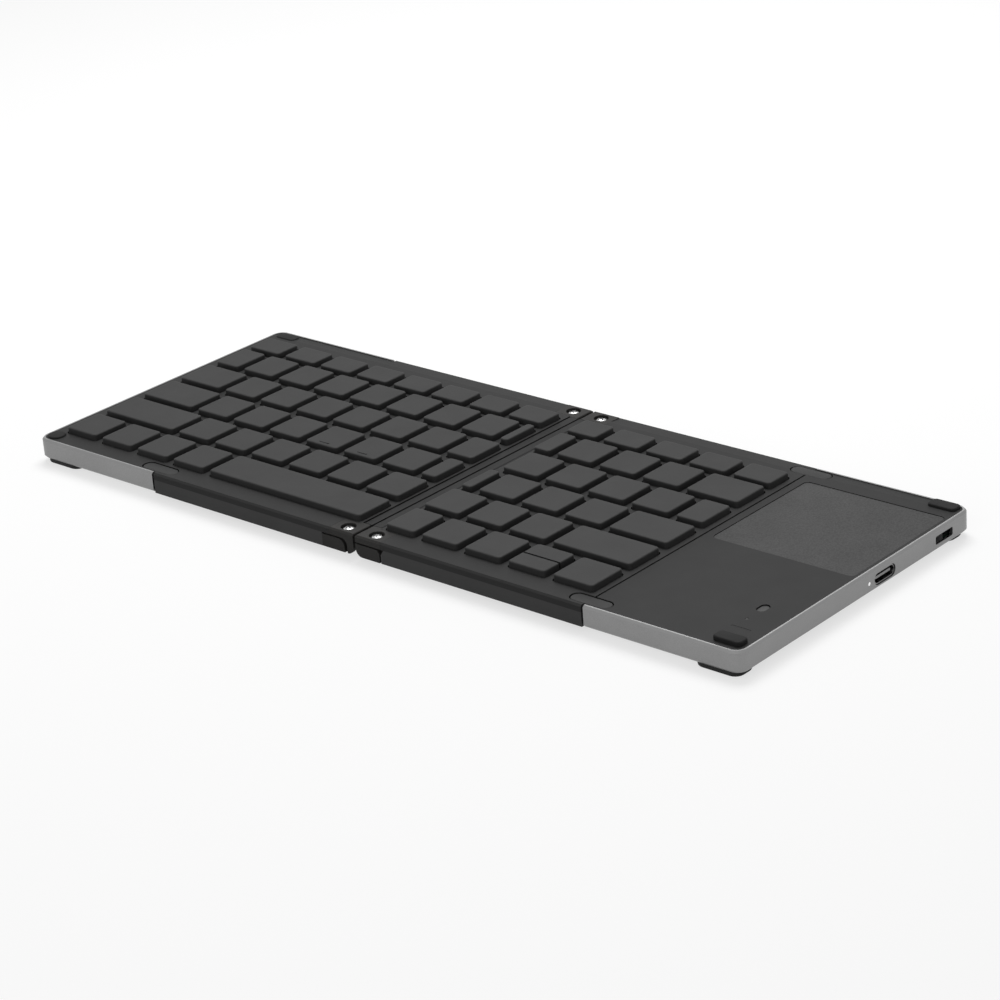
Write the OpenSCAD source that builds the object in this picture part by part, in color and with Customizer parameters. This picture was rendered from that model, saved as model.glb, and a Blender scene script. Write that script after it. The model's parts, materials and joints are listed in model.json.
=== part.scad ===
// Folding pocket keyboard with a touchpad.
// Two thin halves lie flat side by side and fold face to face about a spine
// that holds two parallel pins. Origin: middle of the footprint, on the
// surface that the feet stand on. X runs left to right, Y front to back.

/* [Overall] */
// Width of the open keyboard
body_w = 252; // [244:1:270]
// Depth from the front edge to the back edge
body_d = 100; // [98:0.5:110]
// Height of the case from its underside to the deck
body_h = 6.0; // [5.6:0.1:8]
// Height of the rubber feet under the case
foot_h = 1.5; // [0.8:0.1:3]

/* [Case] */
// Thickness of the metal frame's wall
frame_wall = 1.0; // [0.8:0.1:1.6]
// Plan radius of the frame's outer corners
frame_r = 3.6; // [2:0.1:5]
// Bevel along the frame's top edge
frame_bevel = 0.55; // [0.2:0.05:0.7]
// Bevel along the frame's bottom edge
frame_foot_bevel = 0.7; // [0.3:0.05:0.9]
// Thickness of the case floor
floor_t = 1.0; // [0.8:0.1:1.4]
// Thickness of the plastic side walls
base_wall = 1.2; // [0.8:0.1:1.8]
// Thickness of the decks
deck_t = 2.0; // [1.6:0.1:2.4]
// Gap between the metal frame and the plastic case
frame_gap = 0.6; // [0.3:0.05:1]
// Length of the lap that joins the case floor to the frame floor
lap_len = 5; // [3:0.5:8]
// Width of the sloping strip along the back of the decks
back_slope_w = 4.6; // [3:0.1:6]
// Drop of the sloping strip at the back edge
back_slope_drop = 0.35; // [0.1:0.05:0.6]
// Bevel along the front edge of the plastic decks
deck_bevel = 0.5; // [0.2:0.05:0.8]
// Gap round a part that drops into the case
seat_gap = 0.05; // [0.02:0.01:0.1]
// Width of the seam between the two right decks
seam_w = 0.5; // [0.3:0.05:0.8]

/* [Hinge] */
// Gap between the two decks when the keyboard is shut
shut_gap = 3.7; // [3.6:0.05:3.9]
// Depth of the pin axes below the deck
pin_depth = 0.75; // [0.7:0.05:0.85]
// Diameter of a hinge pin
pin_dia = 0.8; // [0.6:0.05:0.9]
// Length of a pin inside the spine
pin_in_spine = 7; // [4:0.5:12]
// Length of a pin inside its corner bracket
pin_in_bracket = 2.6; // [2:0.1:2.7]
// Radial clearance of a pin in the bracket that turns on it
pin_run = 0.04; // [0.02:0.01:0.08]
// Radial clearance of a pin in the spine that holds it
pin_hold = 0.01; // [0.01:0.01:0.03]
// Gap between the spine and the edges beside it
spine_gap = 0.15; // [0.1:0.05:0.3]
// Height of the spine
spine_h = 5.2; // [4.6:0.1:5.6]
// Width of the groove along the middle of the spine
groove_w = 0.6; // [0.4:0.1:1]
// Depth of the groove along the middle of the spine
groove_h = 0.9; // [0.5:0.1:1.5]
// Depth of each corner bracket, from the case edge inwards
bracket_d = 7.2; // [7:0.1:7.6]
// Length of each corner bracket's top along X
bracket_len = 9.2; // [8.8:0.1:11]
// Distance of a bracket screw from the middle of the keyboard
screw_x = 5.1; // [5.05:0.05:5.6]
// Distance of a bracket screw from the case edge
screw_inset = 3.4; // [3.2:0.05:3.6]
// Diameter of a bracket screw's head
screw_head = 3.8; // [3.4:0.1:3.9]
// Diameter of a bracket screw's thread
screw_dia = 1.6; // [1.2:0.1:2]

/* [Keys] */
// Height of the key tops above the deck
key_rise = 1.7; // [1.3:0.05:1.7]
// Travel of a key
key_travel = 1.2; // [0.8:0.1:1.3]
// Gap between neighbouring caps
key_gap = 2.6; // [2.4:0.1:3]
// Depth of the caps in the narrow back row
top_row_d = 8.9; // [8:0.1:9.2]
// Gap between the back row and the row before it
top_row_gap = 1.9; // [1.8:0.1:2.4]
// Distance from the front edge to the first row
key_front = 7.2; // [7.1:0.1:7.6]
// Distance from the back edge to the last row
key_back = 9.6; // [9:0.1:12]
// Distance from the middle of the fold to the caps beside it
key_fold = 4.7; // [4.6:0.05:5]
// Distance from the left end of the case to the first caps
key_left = 5.0; // [4.5:0.1:6]
// Distance from the deck seam to the last caps
key_seam = 2.7; // [2.2:0.1:4]
// Corner radius of a cap
cap_r = 1.1; // [0.6:0.1:1.6]
// Bevel round a cap's top
cap_bevel = 0.35; // [0.15:0.05:0.5]
// How far a cap's wall leans in from its foot to its top
cap_lean = 0.12; // [0:0.02:0.2]
// Wall thickness of a cap
cap_wall = 0.9; // [0.7:0.1:1.1]
// Depth of a cap's skirt below the deck
cap_sunk = 1.0; // [0.8:0.1:1.2]
// Gap between a cap and its well in the deck
well_gap = 0.35; // [0.25:0.05:0.45]
// Diameter of the plunger under a cap
plunger_dia = 2.4; // [2:0.1:2.8]

/* [Switch layers] */
// Thickness of the steel plate under the keys
plate_t = 0.4; // [0.3:0.05:0.5]
// Thickness of the contact film
film_t = 0.2; // [0.1:0.05:0.25]
// Thickness of the rubber sheet
rubber_t = 0.25; // [0.2:0.05:0.3]
// Height of a rubber dome when it is pressed flat
dome_h = 0.85; // [0.5:0.05:0.9]

/* [Touchpad] */
// Width of the touchpad
pad_w = 43.6; // [38:0.1:48]
// Depth of the touchpad
pad_d = 41.4; // [36:0.1:42]
// Distance from the back edge to the touchpad
pad_back = 9.2; // [8.8:0.1:14]
// Distance from the right end to the touchpad
pad_right = 2.1; // [2:0.1:3]
// Distance from the frame's end to the touchpad
pad_left = 2.6; // [2:0.1:4]
// Thickness of the touchpad's sheet
pad_t = 0.6; // [0.4:0.05:0.7]
// Corner radius of the touchpad
pad_r = 1.4; // [0.8:0.1:3]
// Width of the groove round the touchpad
pad_groove = 0.25; // [0.15:0.05:0.35]

/* [Port and power switch] */
// Distance from the back edge to the middle of the charging port
port_back = 39.7; // [36:0.1:42]
// Height of the port's middle above the case underside
port_z = 2.75; // [2.7:0.05:2.8]
// Width of the port's metal shell
port_w = 8.94; // [8.8:0.02:9.1]
// Height of the port's metal shell
port_h = 3.16; // [3.1:0.02:3.2]
// Sheet thickness of the port's shell
port_wall = 0.3; // [0.2:0.05:0.3]
// Distance from the back edge to the middle of the power switch
switch_back = 13.0; // [12:0.1:16]
// Length of the power switch's window
switch_w = 7.8; // [7:0.1:8.4]
// Height of the power switch's window
switch_h = 2.3; // [1.8:0.1:2.4]
// Length of the power switch's knob
knob_w = 3.6; // [3:0.1:3.8]
// Travel of the power switch's knob
knob_travel = 3.6; // [2.6:0.1:3.6]
// Diameter of the charging light
lamp_dia = 1.0; // [0.8:0.1:1.4]

/* [Status lights] */
// Distance from the right end to the large status window
window_end = 10.2; // [9:0.1:14]
// Distance from the front edge to the large status window
window_front = 23.1; // [22:0.1:26]

/* [Electronics] */
// Width of the battery
battery_w = 19; // [14:0.5:20]
// Distance from the front and back edges to the battery
battery_edge = 16; // [14:0.5:24]
// Distance from the front and back edges to the main board
board_edge = 6; // [5:0.5:8]

/* [Hidden] */
$fn = 48;
eps = 0.01;

// Levels, from the surface that the feet stand on
z_case = foot_h;
z_floor = z_case + floor_t;
z_deck = z_case + body_h;
z_deck_low = z_deck - deck_t;
z_plate = z_floor + plate_t;
z_film = z_plate + film_t;
z_rubber = z_film + rubber_t;
z_pin = z_deck - pin_depth;
z_spine = z_deck - spine_h;

// Plan
half_w = body_w / 2;
half_d = body_d / 2;
port_y = half_d - port_back;
switch_y = half_d - switch_back;
// The metal frame reaches round the touchpad and its borders
frame_len = pad_w + pad_left + pad_right;
frame_x = half_w - frame_len;
base_x = frame_x - frame_gap;
pin_gap = shut_gap + 2 * pin_depth;
pin_x = pin_gap / 2;
spine_half_w = pin_x + pin_depth;
fold_x = spine_half_w + spine_gap;
spine_half_l = half_d - bracket_d - spine_gap;
screw_y = half_d - screw_inset;
flange_d = key_front - well_gap - 0.25;
screw_recess = screw_head + 0.5;
head_t = 0.8;
head_sunk = 0.1;

// Inner corner edges of the two halves, each side of the fold line
corner_x_left = 0.62;
corner_x_right = 0.18;
corner_round = 0.45;

// Keys: each row is [lead-in, widths], in shares of the row
// The rows share the depth between their front and back borders
row_pitch = (body_d - key_front - key_back - top_row_d - top_row_gap + key_gap) / 5;
main_cap_d = row_pitch - key_gap;
left_rows = [
    [0, [1, 1, 1, 1, 4.07]],
    [0, [2.09, 1, 1, 1, 1, 1, 1]],
    [0, [1.57, 1, 1, 1, 1, 1, 1, 0.55]],
    [0, [1.3, 1, 1, 1, 1, 1, 1, 0.83]],
    [0, [0.8, 1, 1, 1, 1, 1, 1, 1, 0.38]],
    [0, [1, 1, 1, 1, 1, 1, 1, 1]]
];
right_rows = [
    [0, [0.85, 1, 1, 1, 1.05]],
    [0, [1, 1, 1, 1.9]],
    [0, [0.41, 1, 1, 1, 1.46]],
    [0.12, [1, 1, 1, 1, 0.77]],
    [0, [0.56, 1, 1, 1, 1.32]],
    [0, [0.87, 1, 1, 1, 1]]
];
split_key = 3;
home_row = 2;
home_keys = [4, 5];
left_x0 = -half_w + key_left;
left_block = half_w - key_left - key_fold;
right_x0 = key_fold;
right_block = frame_x - key_seam - key_fold;

z_cap_low = z_deck - cap_sunk;
z_cap_top = z_deck + key_rise;
z_plunger = z_rubber + dome_h + key_travel + 0.15;

// ---------------------------------------------------------------- helpers

function total(list, n) = n <= 0 ? 0 : list[n - 1] + total(list, n - 1);

// One key cell: [start, width of the cap] along X
function cell_share(row) = row[0] + total(row[1], len(row[1]));
function cell_x(row, i, x0, block) =
    x0 + (row[0] + total(row[1], i)) * (block + key_gap) / cell_share(row);
function cap_w(row, i, block) =
    row[1][i] * (block + key_gap) / cell_share(row) - key_gap;

// Front edge and depth of each row, counted from the front
function row_y(r) = -half_d + key_front + r * row_pitch
    - (r == 5 ? key_gap - top_row_gap : 0);
function row_d(r) = r == 5 ? top_row_d : main_cap_d;

// Rectangle with round corners, from its low corner
module round_rect(w, d, r) {
    translate([r, 0])
        square([w - 2 * r, d]);
    translate([0, r])
        square([w, d - 2 * r]);
    for (x = [r, w - r], y = [r, d - r])
        translate([x, y])
            circle(r = r);
}

// Oblong with half-round ends, centred
module oblong(w, d) {
    square([w - d, d], center = true);
    for (s = [-1, 1])
        translate([s * (w - d) / 2, 0])
            circle(d = d);
}

// A profile drawn in Y and Z, drawn out along X
module along_x(x0, x1) {
    translate([x0, 0, 0])
        rotate([90, 0, 90])
            linear_extrude(x1 - x0)
                children();
}

// A profile drawn in X and Z, drawn out along Y
module along_y(y0, y1) {
    translate([0, y1, 0])
        rotate([90, 0, 0])
            linear_extrude(y1 - y0)
                children();
}

module block(x0, x1, y0, y1, z0, z1) {
    translate([x0, y0, z0])
        cube([x1 - x0, y1 - y0, z1 - z0]);
}

module both_ends() {
    children();
    mirror([0, 1, 0])
        children();
}

// ---------------------------------------------------------------- case

// Section of the metal frame's wall: outer face at 0, inner face at frame_wall
module frame_section() {
    polygon([
        [frame_wall, z_case], [frame_foot_bevel, z_case],
        [0, z_case + frame_foot_bevel], [0, z_deck - frame_bevel],
        [frame_bevel, z_deck], [frame_wall, z_deck]
    ]);
}

// Metal tray round one end, drawn at the left end
module end_frame_body() {
    difference() {
        union() {
            both_ends()
                translate([0, -half_d, 0])
                    along_x(-half_w + frame_r, -frame_x)
                        frame_section();
            both_ends()
                translate([-half_w + frame_r, -half_d + frame_r, 0])
                    rotate([0, 0, 180])
                        rotate_extrude(angle = 90)
                            translate([frame_r, 0])
                                mirror([1, 0])
                                    frame_section();
            translate([-half_w, 0, 0])
                along_y(-half_d + frame_r, half_d - frame_r)
                    frame_section();
            translate([0, 0, z_case])
                linear_extrude(floor_t)
                    frame_floor();
        }
        block(-frame_x - lap_len, -frame_x + 1, -half_d + frame_wall,
              half_d - frame_wall, z_case + floor_t / 2, z_floor + 1);
    }
}

module frame_floor() {
    inset = frame_wall - eps * 10;
    r = frame_r - inset;
    translate([-half_w + inset, -half_d + inset])
        round_rect(2 * r + 1, body_d - 2 * inset, r);
    translate([-half_w + inset + r, -half_d + inset])
        square([frame_len - inset - r, body_d - 2 * inset]);
}

// Notch in the plastic case for one corner bracket, front side, drawn at the left
module bracket_notch(low_len) {
    block(-low_len, 1, -half_d - 1, -half_d + base_wall, z_case - 1, z_deck + 1);
    block(-low_len, 1, -half_d - 1, -half_d + flange_d + seat_gap, z_floor, z_deck + 1);
}

// Plastic tray between the frame and the fold, drawn at the left
module base_body(low_len) {
    difference() {
        union() {
            block(-base_x, -fold_x, -half_d, half_d, z_case, z_floor);
            block(-base_x - lap_len, -base_x + 1, -half_d + base_wall + seat_gap,
                  half_d - base_wall - seat_gap, z_case + floor_t / 2 + seat_gap, z_floor);
            both_ends()
                block(-base_x, -fold_x, -half_d, -half_d + base_wall, z_case, z_deck_low);
            block(-fold_x - fold_wall, -fold_x, -half_d, half_d, z_case, z_deck_low);
        }
        both_ends()
            bracket_notch(low_len);
        block(-fold_x - fold_wall - 1, 0, -cable_w / 2 - 1, cable_w / 2 + 1,
              z_cable - 0.4, z_cable + 0.6);
        along_y(-half_d - 1, half_d + 1)
            fold_edge_round(fold_x, z_case);
        for (s = [-1, 1])
            translate([-screw_x, s * screw_y, z_case + 0.4])
                cylinder(d = screw_dia + 0.06, h = 3);
    }
}

// Rounds the bottom edge at the fold: the area outside a quarter circle
module fold_edge_round(x, z) {
    r = 0.8;
    difference() {
        translate([-x - r, z - 1])
            square([r + 1, r + 1]);
        translate([-x - r, z + r])
            circle(r = r);
    }
}

fold_wall = 0.7;
cable_w = 12;
cable_t = 0.15;
z_cable = z_plate + 0.5;

module left_base() {
    color("#3a3b3d")
        base_body(left_block_len);
}

module right_base() {
    color("#3a3b3d")
        difference() {
            mirror([1, 0, 0])
                base_body(bracket_len);
            both_ends()
                along_y(-half_d - 1, -half_d + base_wall)
                    polygon([
                        [bracket_len - 1, z_deck_low - notch_h], [bracket_len, z_deck_low - notch_h],
                        [bracket_len + notch_w / 2, z_deck_low + eps],
                        [bracket_len - 1, z_deck_low + eps]
                    ]);
        }
}

module left_end_frame() {
    color("#7d7f82")
        end_frame_body();
}

module right_end_frame() {
    color("#7d7f82")
        difference() {
            mirror([1, 0, 0])
                end_frame_body();
            translate([half_w - 2 * frame_wall, port_y, z_case + port_z])
                rotate([90, 0, 90])
                    linear_extrude(3 * frame_wall)
                        oblong(port_w + 0.3, port_h + 0.3);
            translate([half_w - 2 * frame_wall, switch_y, z_switch])
                rotate([90, 0, 90])
                    linear_extrude(3 * frame_wall)
                        translate([-switch_w / 2, -switch_h / 2])
                            round_rect(switch_w, switch_h, 0.5);
            translate([half_w - 2 * frame_wall, lamp_y, z_case + port_z])
                rotate([0, 90, 0])
                    cylinder(d = lamp_dia + 0.06, h = 3 * frame_wall);
        }
}

notch_w = 2.2;
notch_h = 1.5;
notch_slit = 0.45;
z_switch = z_case + port_z + 0.15;
lamp_y = port_y - port_w / 2 - 2.3;
left_block_len = 12.0;

// ---------------------------------------------------------------- decks

// Section of a deck in Y and Z, with its bevelled front and sloping back
module deck_section() {
    polygon([
        [-half_d, z_deck_low], [-half_d, z_deck - deck_bevel],
        [-half_d + deck_bevel, z_deck], [half_d - back_slope_w, z_deck],
        [half_d, z_deck - back_slope_drop], [half_d, z_deck_low]
    ]);
}

// Plan of the deck that covers one end inside the frame, drawn at the left
module deck_end_plan(x1) {
    inset = frame_wall + seat_gap;
    r = frame_r - inset;
    translate([-half_w + inset, -half_d + inset])
        round_rect(3 * r, body_d - 2 * inset, r);
    translate([-half_w + inset + r, -half_d + inset])
        square([half_w - inset - r + x1, body_d - 2 * inset]);
}

// Plan of the deck between the frame and the fold, drawn at the left
module deck_mid_plan() {
    difference() {
        translate([-base_x, -half_d])
            square([base_x - fold_x, body_d]);
        for (s = [0, 1])
            mirror([0, s])
                translate([-bracket_len - seat_gap, -half_d - 1])
                    square([bracket_len, flange_d + seat_gap + 1]);
    }
}

module well_plan(row_set, x0, block_w) {
    for (r = [0 : 5])
        for (i = [0 : len(row_set[r][1]) - 1])
            translate([cell_x(row_set[r], i, x0, block_w) - well_gap, row_y(r) - well_gap])
                round_rect(cap_w(row_set[r], i, block_w) + 2 * well_gap,
                           row_d(r) + 2 * well_gap, cap_r + well_gap / 2);
}

// Posts that hold a deck off the rubber sheet, between the rows
module deck_posts(xs) {
    for (x = xs, r = [1, 3, 5])
        translate([x, row_y(r) - (r == 5 ? top_row_gap : key_gap) / 2, z_rubber])
            cylinder(d = 1.1, h = z_deck_low - z_rubber + 0.5, $fn = 24);
}

module left_deck() {
    color("#454648")
        difference() {
            union() {
                intersection() {
                    translate([0, 0, z_deck_low])
                        linear_extrude(deck_t)
                            difference() {
                                union() {
                                    deck_end_plan(-base_x + 1);
                                    deck_mid_plan();
                                }
                                well_plan(left_rows, left_x0, left_block);
                            }
                    along_x(-half_w, 0)
                        deck_section();
                }
                deck_posts([-110, -85, -60, -35, -12]);
            }
            cover_recess(-frame_x, -1);
            bumper_recesses_left();
        }
}

module right_deck() {
    color("#454648")
        difference() {
            union() {
                intersection() {
                    translate([0, 0, z_deck_low])
                        linear_extrude(deck_t)
                            difference() {
                                mirror([1, 0])
                                    deck_mid_plan();
                                well_plan(right_rows, right_x0, right_block);
                            }
                    along_x(0, half_w)
                        deck_section();
                }
                deck_posts([14, 38, 64]);
            }
            cover_recess(frame_x, -1);
            cover_recess(frame_x, 1);
        }
}

module touchpad_deck() {
    x_seam = base_x + seam_w;
    color("#454648")
        difference() {
            intersection() {
                translate([0, 0, z_deck_low])
                    linear_extrude(deck_t)
                        mirror([1, 0])
                            deck_end_plan(-x_seam);
                along_x(0, half_w)
                    deck_section();
            }
            translate([pad_x0 - pad_groove, pad_y0 - pad_groove, z_deck - pad_t - 0.05])
                linear_extrude(deck_t)
                    round_rect(pad_w + 2 * pad_groove, pad_d + 2 * pad_groove,
                               pad_r + pad_groove);
            cover_recess(frame_x, -1);
            cover_recess(frame_x, 1);
            bumper_recesses_right();
            block(half_w - socket_l - 1, half_w, port_y - port_w / 2 - 0.3,
                  port_y + port_w / 2 + 0.3, z_deck_low - 1,
                  z_case + port_z + port_h / 2 + 0.1);
            status_shapes(0.05);
        }
}

pad_x0 = half_w - pad_right - pad_w;
pad_y0 = half_d - pad_back - pad_d;
socket_l = 7.4;

module touchpad() {
    color("#58595b")
        translate([pad_x0, pad_y0, z_deck - pad_t - 0.05])
            linear_extrude(pad_t)
                round_rect(pad_w, pad_d, pad_r);
}

module touchpad_board() {
    color("#1f4a33")
        block(pad_x0 + 1, pad_x0 + pad_w - 2 * socket_l, pad_y0 + 4, pad_y0 + pad_d - 4,
              z_deck_low - 0.4, z_deck_low);
}

// ---------------------------------------------------------------- covers, bumpers, feet

cover_w = 12.6;
cover_d = 4.0;
cover_t = 0.9;
cover_inset = 3.5;

// Oblong seat for a joint cover; side is -1 at the front and 1 at the back
module cover_recess(x, side) {
    translate([x, side * (half_d - cover_inset), z_deck - cover_t - 0.1])
        linear_extrude(deck_t)
            oblong(cover_w + 0.5, cover_d + 0.5);
}

module joint_cover(x, side) {
    translate([x, side * (half_d - cover_inset), z_deck - cover_t - 0.1]) {
        linear_extrude(cover_t - 0.15)
            oblong(cover_w, cover_d);
        translate([0, 0, cover_t - 0.15])
            linear_extrude(0.15)
                oblong(cover_w - 0.3, cover_d - 0.3);
    }
}

module left_joint_cover() {
    color("#4d4e50")
        joint_cover(-frame_x, -1);
}

module right_joint_covers() {
    color("#4d4e50")
        for (side = [-1, 1])
            joint_cover(frame_x, side);
}

bumper_sunk = 0.8;
round_bumper_d = 5.0;
round_bumper_x = half_w - 4.1;
bar_bumper_x = half_w - 6.3;
bar_bumper_w = 8.2;
bar_bumper_d = 3.8;
front_bumper_y = half_d - 4.6;
back_bumper_y = half_d - 3.4;
round_bumper_y = half_d - 4.0;

module bumper_recesses_left() {
    translate([-round_bumper_x, -round_bumper_y, z_deck - bumper_sunk])
        cylinder(d = round_bumper_d + 0.2, h = 2);
    translate([-bar_bumper_x, back_bumper_y, z_deck - bumper_sunk])
        linear_extrude(2)
            oblong(bar_bumper_w - 0.6, bar_bumper_d - 0.2);
}

module bumper_recesses_right() {
    translate([bar_bumper_x, -front_bumper_y, z_deck - bumper_sunk])
        linear_extrude(2)
            oblong(bar_bumper_w + 0.2, bar_bumper_d + 0.2);
    translate([bar_bumper_x, back_bumper_y, z_deck - bumper_sunk])
        linear_extrude(2)
            oblong(bar_bumper_w + 0.2, bar_bumper_d + 0.2);
}

// A rubber bar with a stepped crown; rise is its height above the deck
module bar_bumper(w, d, rise) {
    linear_extrude(bumper_sunk + rise - 0.3)
        oblong(w, d);
    translate([0, 0, bumper_sunk + rise - 0.3])
        linear_extrude(0.3)
            oblong(w - 0.6, d - 0.6);
}

module left_bumpers() {
    color("#2d2e30") {
        translate([-round_bumper_x, -round_bumper_y, z_deck - bumper_sunk]) {
            cylinder(d = round_bumper_d, h = bumper_sunk + 0.3);
            translate([0, 0, bumper_sunk + 0.3])
                cylinder(d1 = round_bumper_d, d2 = round_bumper_d - 0.5, h = 0.2);
        }
        translate([-bar_bumper_x, back_bumper_y, z_deck - bumper_sunk])
            bar_bumper(bar_bumper_w - 0.8, bar_bumper_d - 0.4, 0.3);
    }
}

module right_bumpers() {
    color("#2d2e30") {
        translate([bar_bumper_x, -front_bumper_y, z_deck - bumper_sunk])
            bar_bumper(bar_bumper_w, bar_bumper_d, 1.25);
        translate([bar_bumper_x, back_bumper_y, z_deck - bumper_sunk])
            bar_bumper(bar_bumper_w, bar_bumper_d, 0.5);
    }
}

foot_w = 16;
foot_d = 5.4;
end_foot_inset = 3.0;
end_foot_x = half_w - 3.6 - foot_w / 2;
fold_foot_x = 24;
fold_foot_y = half_d - 12;

// Oblong foot with a bevelled sole
module foot(w, d) {
    translate([0, 0, 0.4])
        linear_extrude(foot_h - 0.4)
            oblong(w, d);
    linear_extrude(0.4)
        oblong(w - 0.8, d - 0.8);
}

module feet_left() {
    for (s = [-1, 1]) {
        translate([-end_foot_x, s * (half_d - end_foot_inset - foot_d / 2), 0])
            foot(foot_w, foot_d);
        translate([-fold_foot_x, s * fold_foot_y, 0])
            foot(foot_w, foot_d);
    }
}

module left_feet() {
    color("#262729")
        feet_left();
}

module right_feet() {
    color("#262729")
        mirror([1, 0, 0])
            feet_left();
}

// ---------------------------------------------------------------- hinge

// Side view of a bracket in X and Z; edge is its fold side, len its far side
module bracket_side(edge, low_len) {
    low_round = 2.2;
    intersection() {
        union() {
            translate([edge, z_deck - deck_t + seat_gap])
                square([bracket_len - edge, deck_t - seat_gap]);
            translate([edge, z_case])
                square([low_len - seat_gap - edge, body_h - deck_t - seat_gap]);
            translate([edge, z_deck - deck_t - 1])
                square([bracket_len - edge - 1, 2]);
        }
        union() {
            translate([edge + low_round, z_case])
                square([20, body_h]);
            translate([edge, z_case + low_round])
                square([20, body_h - low_round - corner_round]);
            translate([edge + low_round, z_case + low_round])
                circle(r = low_round);
            translate([edge + corner_round, z_deck - corner_round - 0.2])
                square([20, corner_round + 0.2]);
            translate([edge + corner_round, z_deck - corner_round])
                circle(r = corner_round);
        }
    }
}

// Solid of one bracket at the front, drawn at +X
module bracket_body(edge, low_len) {
    difference() {
        intersection() {
            along_y(-half_d, -half_d + bracket_d)
                bracket_side(edge, low_len);
            union() {
                along_x(0, 20)
                    deck_section();
                block(0, 20, -half_d, -half_d + bracket_d, z_case, z_deck_low + eps);
            }
        }
        block(0, 20, -half_d + base_wall - seat_gap, 0, z_case - 1, z_floor);
        block(fold_x - seat_gap, 20, -half_d + flange_d, 0, z_case - 1, z_deck + 1);
        translate([pin_x, -half_d + bracket_d - pin_in_bracket - 0.1, z_pin])
            rotate([-90, 0, 0])
                cylinder(r = pin_dia / 2 + pin_run, h = bracket_d);
        translate([screw_x, -screw_y, z_deck - head_t - head_sunk])
            cylinder(d = screw_recess, h = 3);
        translate([screw_x, -screw_y, z_case - 1])
            cylinder(d = screw_dia + 0.1, h = body_h + 2);
    }
}

// Dark slot under the deck line of a right bracket
module right_bracket_slot() {
    block(-1, bracket_len + 1, -half_d - 1, -half_d + 0.8, z_deck_low - 0.4, z_deck_low + 0.05);
}

// Arched slot in the face of a left bracket, drawn at +X
module left_bracket_slot() {
    slot = 0.7;
    x_in = 2.9;
    x_out = 14;
    z_top = z_deck_low + 0.05;
    along_y(-half_d - 1, -half_d + 0.8)
        difference() {
            translate([x_in, z_case - 4])
                round_rect(x_out - x_in, z_top - z_case + 4, 2);
            translate([x_in + slot + 0.3, z_case - 4])
                round_rect(x_out, z_top - z_case + 4 - slot * 0.65, 2.2);
        }
}

module left_hinge_brackets() {
    color("#404143")
        both_ends()
            mirror([1, 0, 0])
                difference() {
                    bracket_body(corner_x_left, left_block_len);
                    left_bracket_slot();
                }
}

module right_hinge_brackets() {
    color("#404143")
        both_ends()
            difference() {
                bracket_body(corner_x_right, bracket_len - notch_slit);
                right_bracket_slot();
                along_y(-half_d - 1, -half_d + base_wall)
                    polygon([
                        [bracket_len, z_deck_low - notch_h], [bracket_len, z_deck_low],
                        [bracket_len - notch_slit - notch_w / 2, z_deck_low],
                        [bracket_len - notch_slit - 0.05, z_deck_low - notch_h]
                    ]);
            }
}

module hinge_screw() {
    difference() {
        union() {
            cylinder(d = screw_head, h = head_t);
            translate([0, 0, z_case + 0.5 - (z_deck - head_t - head_sunk)])
                cylinder(d = screw_dia, h = body_h - head_t - 0.5);
        }
        for (a = [0, 90])
            rotate([0, 0, a])
                translate([-1.1, -0.25, head_t - 0.45])
                    cube([2.2, 0.5, 1]);
    }
}

module hinge_screws(side) {
    for (s = [-1, 1])
        translate([side * screw_x, s * screw_y, z_deck - head_t - head_sunk])
            hinge_screw();
}

module left_hinge_screws() {
    color("#d8d9db")
        hinge_screws(-1);
}

module right_hinge_screws() {
    color("#d8d9db")
        hinge_screws(1);
}

// Section of the spine in X and Z
module spine_section() {
    low_r = 1.5;
    difference() {
        union() {
            for (s = [-1, 1]) {
                translate([s * pin_x, z_pin])
                    circle(r = pin_depth);
                translate([s * (spine_half_w - low_r), z_spine + low_r])
                    circle(r = low_r);
            }
            translate([-pin_x, z_pin])
                square([pin_gap, pin_depth]);
            translate([-spine_half_w, z_spine + low_r])
                square([2 * spine_half_w, z_pin - z_spine - low_r]);
            translate([-spine_half_w + low_r, z_spine])
                square([2 * (spine_half_w - low_r), low_r + 0.5]);
        }
        translate([-groove_w / 2, z_deck - groove_h])
            square([groove_w, 2 * groove_h]);
    }
}

module hinge_spine() {
    color("#4a4b4d")
        difference() {
            along_y(-spine_half_l, spine_half_l)
                spine_section();
            for (s = [-1, 1], e = [0, 1])
                mirror([0, e, 0])
                    translate([s * pin_x, spine_half_l - pin_in_spine - 0.1, z_pin])
                        rotate([-90, 0, 0])
                            cylinder(r = pin_dia / 2 + pin_hold, h = pin_in_spine + 1);
            block(-spine_half_w - 1, spine_half_w + 1, -cable_w / 2 - 0.2, cable_w / 2 + 0.2,
                  z_cable - 0.1, z_cable + cable_t + 0.1);
        }
}

module hinge_pins() {
    color("#c9cacc")
        for (s = [-1, 1])
            both_ends()
                translate([s * pin_x, spine_half_l - pin_in_spine, z_pin])
                    rotate([-90, 0, 0])
                        cylinder(d = pin_dia, h = pin_in_spine + spine_gap + pin_in_bracket);
}

module hinge_flat_cable() {
    color("#b5762c")
        block(-spine_half_w, spine_half_w, -cable_w / 2, cable_w / 2,
              z_cable - 0.1, z_cable - 0.1 + cable_t);
}

// ---------------------------------------------------------------- switch layers

layer_margin = 0.5;

module layer_plan(x0, x1) {
    y0 = row_y(0) - layer_margin;
    y1 = row_y(5) + row_d(5) + layer_margin;
    translate([x0, y0])
        square([x1 - x0, y1 - y0]);
}

left_layer = [-half_w + frame_wall + 1.5, -fold_x - fold_wall - 0.1];
right_layer = [fold_x + fold_wall + 0.1, base_x - 1];

module left_key_plate() {
    color("#9b9da0")
        translate([0, 0, z_floor])
            linear_extrude(plate_t)
                layer_plan(left_layer[0], left_layer[1]);
}

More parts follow.
